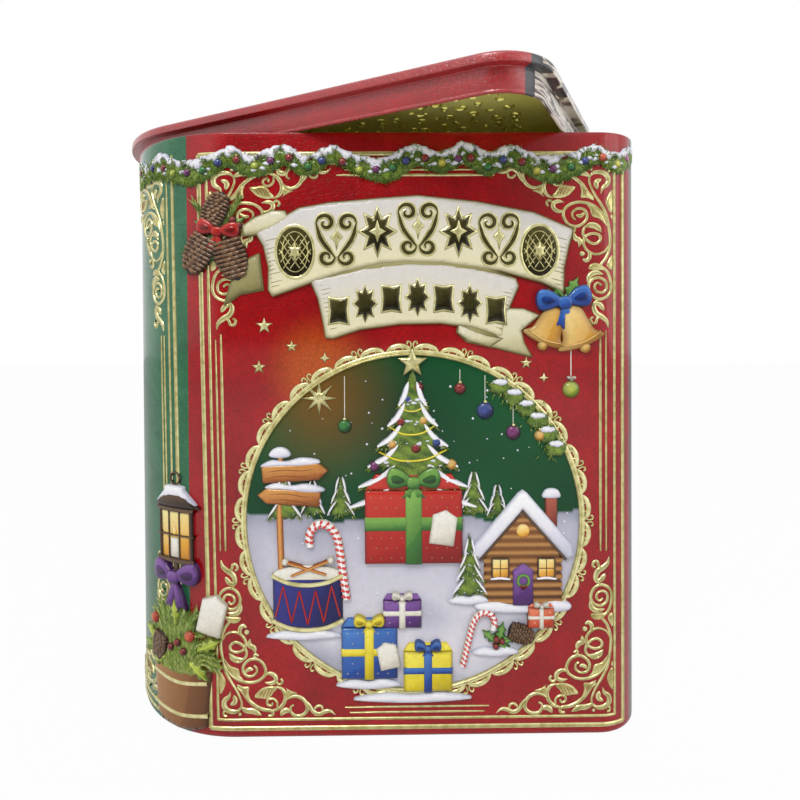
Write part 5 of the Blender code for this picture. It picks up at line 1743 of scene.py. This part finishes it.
# %% Drum and signpost
DRUM_LEFT, DRUM_RIGHT, DRUM_LOW, DRUM_HIGH = 12.5, 36.5, 41.0, 57.0
drum_side = [(DRUM_LEFT, DRUM_HIGH), (DRUM_LEFT, DRUM_LOW), (18, DRUM_LOW - 2.4), (24.5, DRUM_LOW - 3.2),
             (31, DRUM_LOW - 2.4), (DRUM_RIGHT, DRUM_LOW), (DRUM_RIGHT, DRUM_HIGH)]
plate(toys, drum_side, NAVY, 1.1, 2.4, 0.4, lit=(-1.0, 0.3))
pad(toys, disc_outline(24.5, DRUM_HIGH, 12.0, 24, 0.27), PAPER, 0.5, 0.8, 0.9)
for y in (DRUM_HIGH, DRUM_LOW + 0.8):
    rim = [(DRUM_LEFT - 0.2, y), (18, y - 2.5), (24.5, y - 3.3), (31, y - 2.5), (DRUM_RIGHT + 0.2, y)]
    stroke(gilt, rim, 1.9, 0.6, (0.9, 0.9), level=1.2, step=0.8)
cords = []
for i in range(9):
    x = DRUM_LEFT + 1 + (DRUM_RIGHT - DRUM_LEFT - 2) * i / 8
    dip = 3.3 * sin(pi * (x - DRUM_LEFT) / (DRUM_RIGHT - DRUM_LEFT))
    cords.append((x, (DRUM_HIGH - 2.0 if i % 2 else DRUM_LOW + 2.6) - dip))
bar(toys, cords, 0.7, 0.4, (1, 1), level=1.45, ink=RED, step=0.8)
for a, b in (((17, 61.5), (31, 57.2)), ((32.5, 62), (19, 56.8))):
    bar(toys, [a, b], 1.1, 0.6, (1, 0.8), level=1.6, ink=ORANGE_BROWN, step=0.9)
    ball(toys, a[0], a[1], 1.2, PAPER, 1.5, rise=0.8)
stroke(toys, [(15.5, 58.5), (15.2, 78), (15.8, 97)], 2.4, 0.9, (1, 0.9), level=0.3, ink=ORANGE_BROWN,
       step=1.0)
for board, x, y, turn in (
        ([(-9.5, -3.1), (9.5, -3.1), (13, 0), (9.5, 3.1), (-9.5, 3.1)], 19.0, 91.5, 3),
        ([(-9.0, 2.8), (9.2, 2.8), (9.2, -2.8), (-9.0, -2.8), (-12.2, 0)], 20.0, 83.2, -4)):
    plate(toys, placed(board, x, y, 1.0, turn), ORANGE_BROWN, 0.9, 1.0, 0.8)
    for k in (-1.2, 0.8):
        grain = placed([(-8, k), (-2, k + 0.4), (4, k - 0.2), (8, k + 0.2)], x, y, 1.0, turn)
        stroke(toys, grain, 0.32, 0.12, (0.4, 0.4), level=1.65, ink=("#5A2C0C", "#7A4216", "#8A5220"),
               step=1.0)
    cap = placed([(-9.8, 2.6), (-6, 4.6), (-1, 4.0), (4, 4.9), (9.4, 4.0), (10.2, 2.7), (5, 2.0), (-2, 2.4)],
                 x, y, 1.0, turn)
    pad(white, cap, SNOW, 0.7, 1.0, 1.1, step=0.7)
pad(white, [(12, 97.2), (13.2, 99.4), (15.8, 100.2), (18.4, 99.2), (19.2, 97.2), (15.6, 96.4)], SNOW, 0.7,
    1.0, 0.8, step=0.6)
for x, y, wide in ((23, 37.2, 13), (60, 15.6, 20), (79, 48.6, 7), (88, 31, 8), (45, 20.4, 11)):
    mound = [(x - wide, y - 1.2), (x - wide * 0.5, y + 0.9), (x, y + 0.4), (x + wide * 0.5, y + 1.1),
             (x + wide, y - 1.1), (x, y - 2.4)]
    pad(white, mound, SNOW, 0.6, 1.2, 1.0, step=0.8)
for turn, size in ((20, 7), (75, 7.5), (140, 7), (-30, 6)):
    holly_leaf(toys, 89, 33, size, turn, 0.8)
pine_cone(toys, 93.5, 37.5, 8.5, 70, 1.0)
for x, y in ((88.2, 32.2), (90.3, 33.9), (88.4, 34.6)):
    ball(toys, x, y, 1.05, BALL_INKS["red"], 1.5, rise=0.8)
gift(toys, 103.5, 38.4, 9, 7, BALL_INKS["orange"], PAPER, 1.3)

print("with drum and signpost:", len(toys["faces"]), "faces of toys")

# %% [markdown]
# ## Sprigs beside the banners
# Cones, holly, a red bow and two bells fill the places at the ribbons' ends, and small gold
# stars the plain red leather.

# %% Sprigs beside the banners
SPRIG = (-3.0, 171.5)
for turn in (100, 150, 200, 250, 35):
    holly_leaf(toys, *SPRIG, 10.5, turn, 0.5)
for turn, size in ((128, 15), (62, 14), (-158, 14), (95, 13)):
    for k in range(16):
        for way in (1, -1):
            reach = size * (0.15 + 0.85 * k / 16)
            u = SPRIG[0] + reach * cos(radians(turn))
            v = SPRIG[1] + reach * sin(radians(turn))
            needle(trees, u, v, radians(turn + way * (34 - k)), 3.4, 0.55, 0.75,
                   FIR_SHADES[chance.randrange(4)])
pine_cone(toys, -7.6, 170.4, 13.5, -30, 0.9)
pine_cone(toys, -0.6, 169.0, 13.5, 16, 1.0)
pine_cone(toys, -6.0, 176.0, 11.0, 155, 0.8)
bow(toys, -3.4, 172.6, 6.2, RED, 1.6, -8)
for x, y in ((1.6, 176.4), (3.6, 174.6), (2.0, 173.6)):
    ball(toys, x, y, 1.2, BALL_INKS["red"], 1.4, rise=0.9)
for turn in (60, 120, 20, 160):
    holly_leaf(toys, 112.0, 149.0, 9.5, turn, 0.5)
bell(toys, 105.2, 137.0, 10.5, -24, 1.0)
bell(toys, 117.0, 136.2, 11.5, 20, 1.2)
bow(toys, 111.6, 148.4, 8.2, BLUE, 1.8, 6)
stroke(toys, [(114.2, 140), (114.2, 121.6)], 0.4, 0.2, (1, 1), level=0.1, ink=PAPER, step=1.5)
ball(toys, 114.2, 119.0, 2.9, BALL_INKS["lime"], level=0.1, rise=1.4)
bow(toys, 114.2, 122.8, 1.3, PAPER, 0.9, tails=0.6)
for x, y, size, arms in ((11, 141, 3.0, 5), (20, 134, 2.2, 5), (9, 127, 2.6, 5), (31, 130, 2.0, 4),
                         (105, 123, 1.8, 4), (99, 128, 2.3, 5)):
    plate(gilt, star_outline(x, y, size, arms, 0.4), GOLD_INK, 0.5, 0.7, 0.0, step=0.4)

print("with sprigs:", len(toys["faces"]), "faces of toys,", len(gilt["faces"]), "of gold")

# %% [markdown]
# ## Lantern on the spine
# The spine has a picture of its own, a lantern on a post in a wooden tub of fir and holly.
# It bends with the spine, because each of its points goes through the same placing.

# %% Tub of fir
TUB = [(-36.0, 24.5), (-33.8, 4.6), (-30.0, 3.0), (-22.5, 2.2), (-15.0, 3.0), (-11.2, 4.6), (-9.0, 24.5)]
stroke(toys, [(-22.5, 22), (-22.5, 45), (-22.5, 60)], 2.6, 0.9, (1, 1), level=0.3, ink=DARK_WOOD, step=1.0)
plate(toys, TUB, BROWN, 1.2, 2.4, 0.3, step=1.0, lit=(-1.0, 0.2))
for k in range(1, 7):
    t = k / 7
    bar(toys, [(-36.0 + 27.0 * t, 24.2), (-33.0 + 21.0 * t, 3.6)], 0.35, 0.1, (1, 1), level=1.38,
        ink=DARK_WOOD, step=1.2)
for y in (8.5, 19.5):
    stroke(gilt, [(-34.6, y + 0.6), (-22.5, y - 0.7), (-10.4, y + 0.6)], 1.7, 0.4, (1, 1), level=1.4,
           step=1.0)
for turn in range(-10, 200, 14):
    reach = between(17, 23)
    spread = radians(turn)
    bend = (-22.5 + 0.5 * reach * cos(spread), 25 + 0.66 * reach * abs(sin(spread)) + 1)
    tip = (-22.5 + 0.82 * reach * cos(spread), 24 + 1.05 * reach * abs(sin(spread)))
    twig = through([(-22.5 + 5 * cos(spread), 22), bend, tip], 0.8)
    pad(trees, roughen([tuple(twig[0] + (2.2, 0)), tuple(bend + np.array((2.6, 1))), tuple(tip),
                        tuple(bend - np.array((2.6, 1))), tuple(twig[0] - (2.2, 0))], 0.3, 1.2), fir_patch,
        0.6, 1.2, 0.9, step=1.0)
    for k, (u, v) in enumerate(twig):
        ahead = atan2(*(twig[min(k + 1, len(twig) - 1)] - twig[max(k - 1, 0)])[::-1])
        for way in (1, -1):
            needle(trees, u, v, ahead + way * radians(38), 3.3, 0.6, 1.5, FIR_SHADES[1 + chance.randrange(3)])
for x, y, turn in ((-31, 30, 150), (-14, 31, 25), (-22, 38, 95), (-27, 27, -150), (-17, 27, -40)):
    holly_leaf(toys, x, y, 9.5, turn, 1.6, LIME)
pine_cone(toys, -29.0, 33.5, 9.5, -20, 1.7)
for x, y, name in ((-16.5, 35.5, "orange"), (-33.0, 38.5, "orange"), (-24.5, 30.5, "red"),
                   (-19.0, 30.0, "red"), (-21.5, 32.6, "red")):
    ball(toys, x, y, 1.9 if name == "orange" else 1.3, BALL_INKS[name], 1.9, rise=1.0)
plate(toys, placed([(-4.4, -6.4), (4.4, -6.4), (4.4, 5), (0, 7.4), (-4.4, 5)], -8.4, 43.0, 1.0, -14), PAPER,
      0.6, 0.9, 1.5, step=0.8)
print("with the tub:", len(toys["faces"]), "faces of toys,", len(trees["faces"]), "of fir")

# %% Lantern
LAMP_LEFT, LAMP_RIGHT, LAMP_LOW, LAMP_HIGH = -30.2, -14.8, 60.5, 78.0
plate(toys, [(LAMP_LEFT + 1, LAMP_LOW), (LAMP_RIGHT - 1, LAMP_LOW), (LAMP_RIGHT - 0.4, LAMP_HIGH),
             (LAMP_LEFT + 0.4, LAMP_HIGH)], LIT_GLASS, 0.7, 1.6, 0.4)
plate(toys, [(-24.6, 61.4), (-20.4, 61.4), (-20.6, 68.4), (-24.4, 68.4)], PAPER, 0.4, 0.9, 1.0, step=0.7)
pad(toys, [(-22.5, 72.6), (-23.6, 70.4), (-22.5, 68.9), (-21.4, 70.4)], ("#E08A20", "#FFE070", "#FFFBD8"),
    0.4, 0.6, 1.1, step=0.5)
for share in (0.0, 0.33, 0.67, 1.0):
    x = LAMP_LEFT + 0.8 + (LAMP_RIGHT - LAMP_LEFT - 1.6) * share
    bar(toys, [(x, LAMP_LOW), (x, LAMP_HIGH)], 0.95 if share in (0.0, 1.0) else 0.6, 0.5, (1, 1), level=1.2,
        ink=DARK_WOOD, step=1.4)
for y, width in ((LAMP_LOW, 2.2), ((LAMP_LOW + LAMP_HIGH) / 2, 0.7), (LAMP_HIGH, 1.8)):
    bar(toys, [(LAMP_LEFT - 0.6, y), (LAMP_RIGHT + 0.6, y)], width, 0.7, (1, 1), level=1.15, ink=DARK_WOOD,
        step=1.4)
plate(toys, [(-33.0, 78.6), (-12.0, 78.6), (-18.6, 85.0), (-26.4, 85.0)], DARK_WOOD, 0.9, 1.4, 0.9)
pad(white, [(-31.6, 80.0), (-27.0, 84.6), (-26.2, 86.2), (-18.8, 86.2), (-18.0, 84.6), (-13.4, 80.0),
            (-19, 82.2), (-26, 82.0)], SNOW, 0.7, 1.1, 1.2, step=0.8)
handle = disc_outline(-22.5, 88.6, 2.1, 14)
stroke(toys, handle + handle[:1], 0.7, 0.5, (1, 1), level=0.4, ink=DARK_WOOD)
bow(toys, -22.5, 55.0, 8.6, PURPLE, 1.7, tails=1.25)
finish_relief(trees, "picture_firs", fir_ink)
finish_relief(toys, "picture_motifs", motif_ink)
finish_relief(white, "picture_snow", snow_ink)
finish_relief(gilt, "picture_gold", gold)

# %% [markdown]
# ## Camera
# The camera stands where the photograph was taken: about 20 cm in front of the cover, a
# little above the tin's middle, with a wide lens and a small shift of the frame that keeps
# the tin's sides upright.

# %% Camera
CAMERA_PLACE = Vector((6.57 * MM, -247.8 * MM, 136.45 * MM))
CAMERA_TURN = radians(-0.63)
CAMERA_DIP = radians(0.63)
CAMERA_ROLL = radians(-0.29)
LENS = 27.01
SENSOR = 36.0
SHIFT_Y = -0.0683

aim = Matrix.Rotation(CAMERA_TURN, 4, "Z") @ Matrix.Rotation(-CAMERA_DIP, 4, "X")
aim = aim @ Matrix.Rotation(-CAMERA_ROLL, 4, "Y") @ Matrix.Rotation(radians(90), 4, "X")
camera_data = bpy.data.cameras.new("photo_camera")
camera_data.lens = LENS
camera_data.sensor_width = SENSOR
camera_data.shift_y = SHIFT_Y
camera_data.clip_start = 0.01
camera = bpy.data.objects.new("photo_camera", camera_data)
camera.matrix_world = Matrix.Translation(CAMERA_PLACE) @ aim
bpy.context.scene.collection.objects.link(camera)
bpy.context.scene.camera = camera
bpy.context.scene.view_settings.view_transform = "Standard"
print("camera at mm:", [round(v / MM, 1) for v in CAMERA_PLACE])

# %% [markdown]
# ## Floor, room and lamps
# The floor is a pale matt sheet that the camera sees as nearly white, with the tin's shadow
# kept. The room is an even white, but dim on the side where the photographer stands, which
# the glossy cover reflects: a white room on that side as well would turn its red to pink.
# Two soft lamps from the front give the relief its form.

# %% Floor, room and lamps
FLOOR_HALF = 3.0
FLOOR_GLOW = 0.96
FLOOR_DROP = 0.1 * MM
STUDIO_LIGHT = 0.6
DIM_SIDE = (0.83, 0.97)
DIM_LEVEL = 0.03
PHOTOGRAPHER = Vector((-0.10, -0.99, 0.08)).normalized()
LAMP_AIM = Vector((0, 0, 0.1))


def pale_floor():
    """A pale matt floor that shows white to the camera and keeps a faint shadow."""
    material, tree, shader = new_finish("pale_floor", {"Base Color": linear("#E8E8E8"), "Roughness": 0.9})
    path = add_node(tree, "LightPath")
    share = add_node(tree, "Math", {"operation": "MULTIPLY"}, {1: FLOOR_GLOW},
                     {0: path.outputs["Is Camera Ray"]})
    white = add_node(tree, "Emission", values={"Color": linear("#FFFFFF"), "Strength": 1.0})
    mix = add_node(tree, "MixShader", links={"Fac": share.outputs["Value"], 1: shader.outputs["BSDF"],
        2: white.outputs["Emission"]})
    tree.links.new(mix.outputs["Shader"], tree.nodes["Material Output"].inputs["Surface"])
    data = bmesh.new()
    corners = [(-FLOOR_HALF, -FLOOR_HALF), (FLOOR_HALF, -FLOOR_HALF), (FLOOR_HALF, FLOOR_HALF),
               (-FLOOR_HALF, FLOOR_HALF)]
    data.faces.new([data.verts.new((x, y, -FLOOR_DROP)) for x, y in corners])
    mesh = bpy.data.meshes.new("floor")
    data.to_mesh(mesh)
    data.free()
    mesh.materials.append(material)
    floor = bpy.data.objects.new("floor", mesh)
    bpy.context.scene.collection.objects.link(floor)


def plain_world():
    """White studio; gloss sees it too, but for the dim side where the photographer stands."""
    world = bpy.data.worlds.new("plain_studio")
    world.use_nodes = True
    tree = world.node_tree
    tree.nodes.clear()
    path = add_node(tree, "LightPath")
    place = add_node(tree, "TexCoord")
    toward = add_node(tree, "VectorMath", {"operation": "DOT_PRODUCT"}, {1: PHOTOGRAPHER},
                      {0: place.outputs["Generated"]})
    front = add_node(tree, "MapRange", {"interpolation_type": "SMOOTHSTEP"},
                     {"From Min": DIM_SIDE[0], "From Max": DIM_SIDE[1], "To Min": 1.0, "To Max": DIM_LEVEL},
                     {"Value": toward.outputs["Value"]})
    dim = add_node(tree, "Background", values={"Color": linear("#FFFFFF"), "Strength": STUDIO_LIGHT})
    white = add_node(tree, "Background", values={"Color": linear("#FFFFFF"), "Strength": 1.0})
    gloss = add_node(tree, "Background", values={"Color": linear("#FFFFFF")},
                     links={"Strength": front.outputs["Result"]})
    shiny = add_node(tree, "Math", {"operation": "MAXIMUM"},
                     links={0: path.outputs["Is Glossy Ray"], 1: path.outputs["Is Transmission Ray"]})
    lit = add_node(tree, "MixShader", links={"Fac": shiny.outputs["Value"], 1: dim.outputs["Background"],
        2: gloss.outputs["Background"]})
    seen = add_node(tree, "MixShader", links={
        "Fac": path.outputs["Is Camera Ray"], 1: lit.outputs["Shader"], 2: white.outputs["Background"]})
    add_node(tree, "OutputWorld", links={"Surface": seen.outputs["Shader"]})
    bpy.context.scene.world = world


def soft_lamp(name, place, size, watts):
    """A round soft lamp that points at the tin's middle."""
    data = bpy.data.lights.new(name, "AREA")
    data.shape = "DISK"
    data.size = size
    data.energy = watts
    lamp = bpy.data.objects.new(name, data)
    lamp.location = place
    lamp.rotation_euler = (LAMP_AIM - Vector(place)).to_track_quat("-Z", "Y").to_euler()
    bpy.context.scene.collection.objects.link(lamp)


pale_floor()
plain_world()
soft_lamp("key", (-0.25, -0.70, 0.85), 0.35, 4.2)
soft_lamp("fill", (0.8, -0.6, 0.4), 0.7, 1.4)
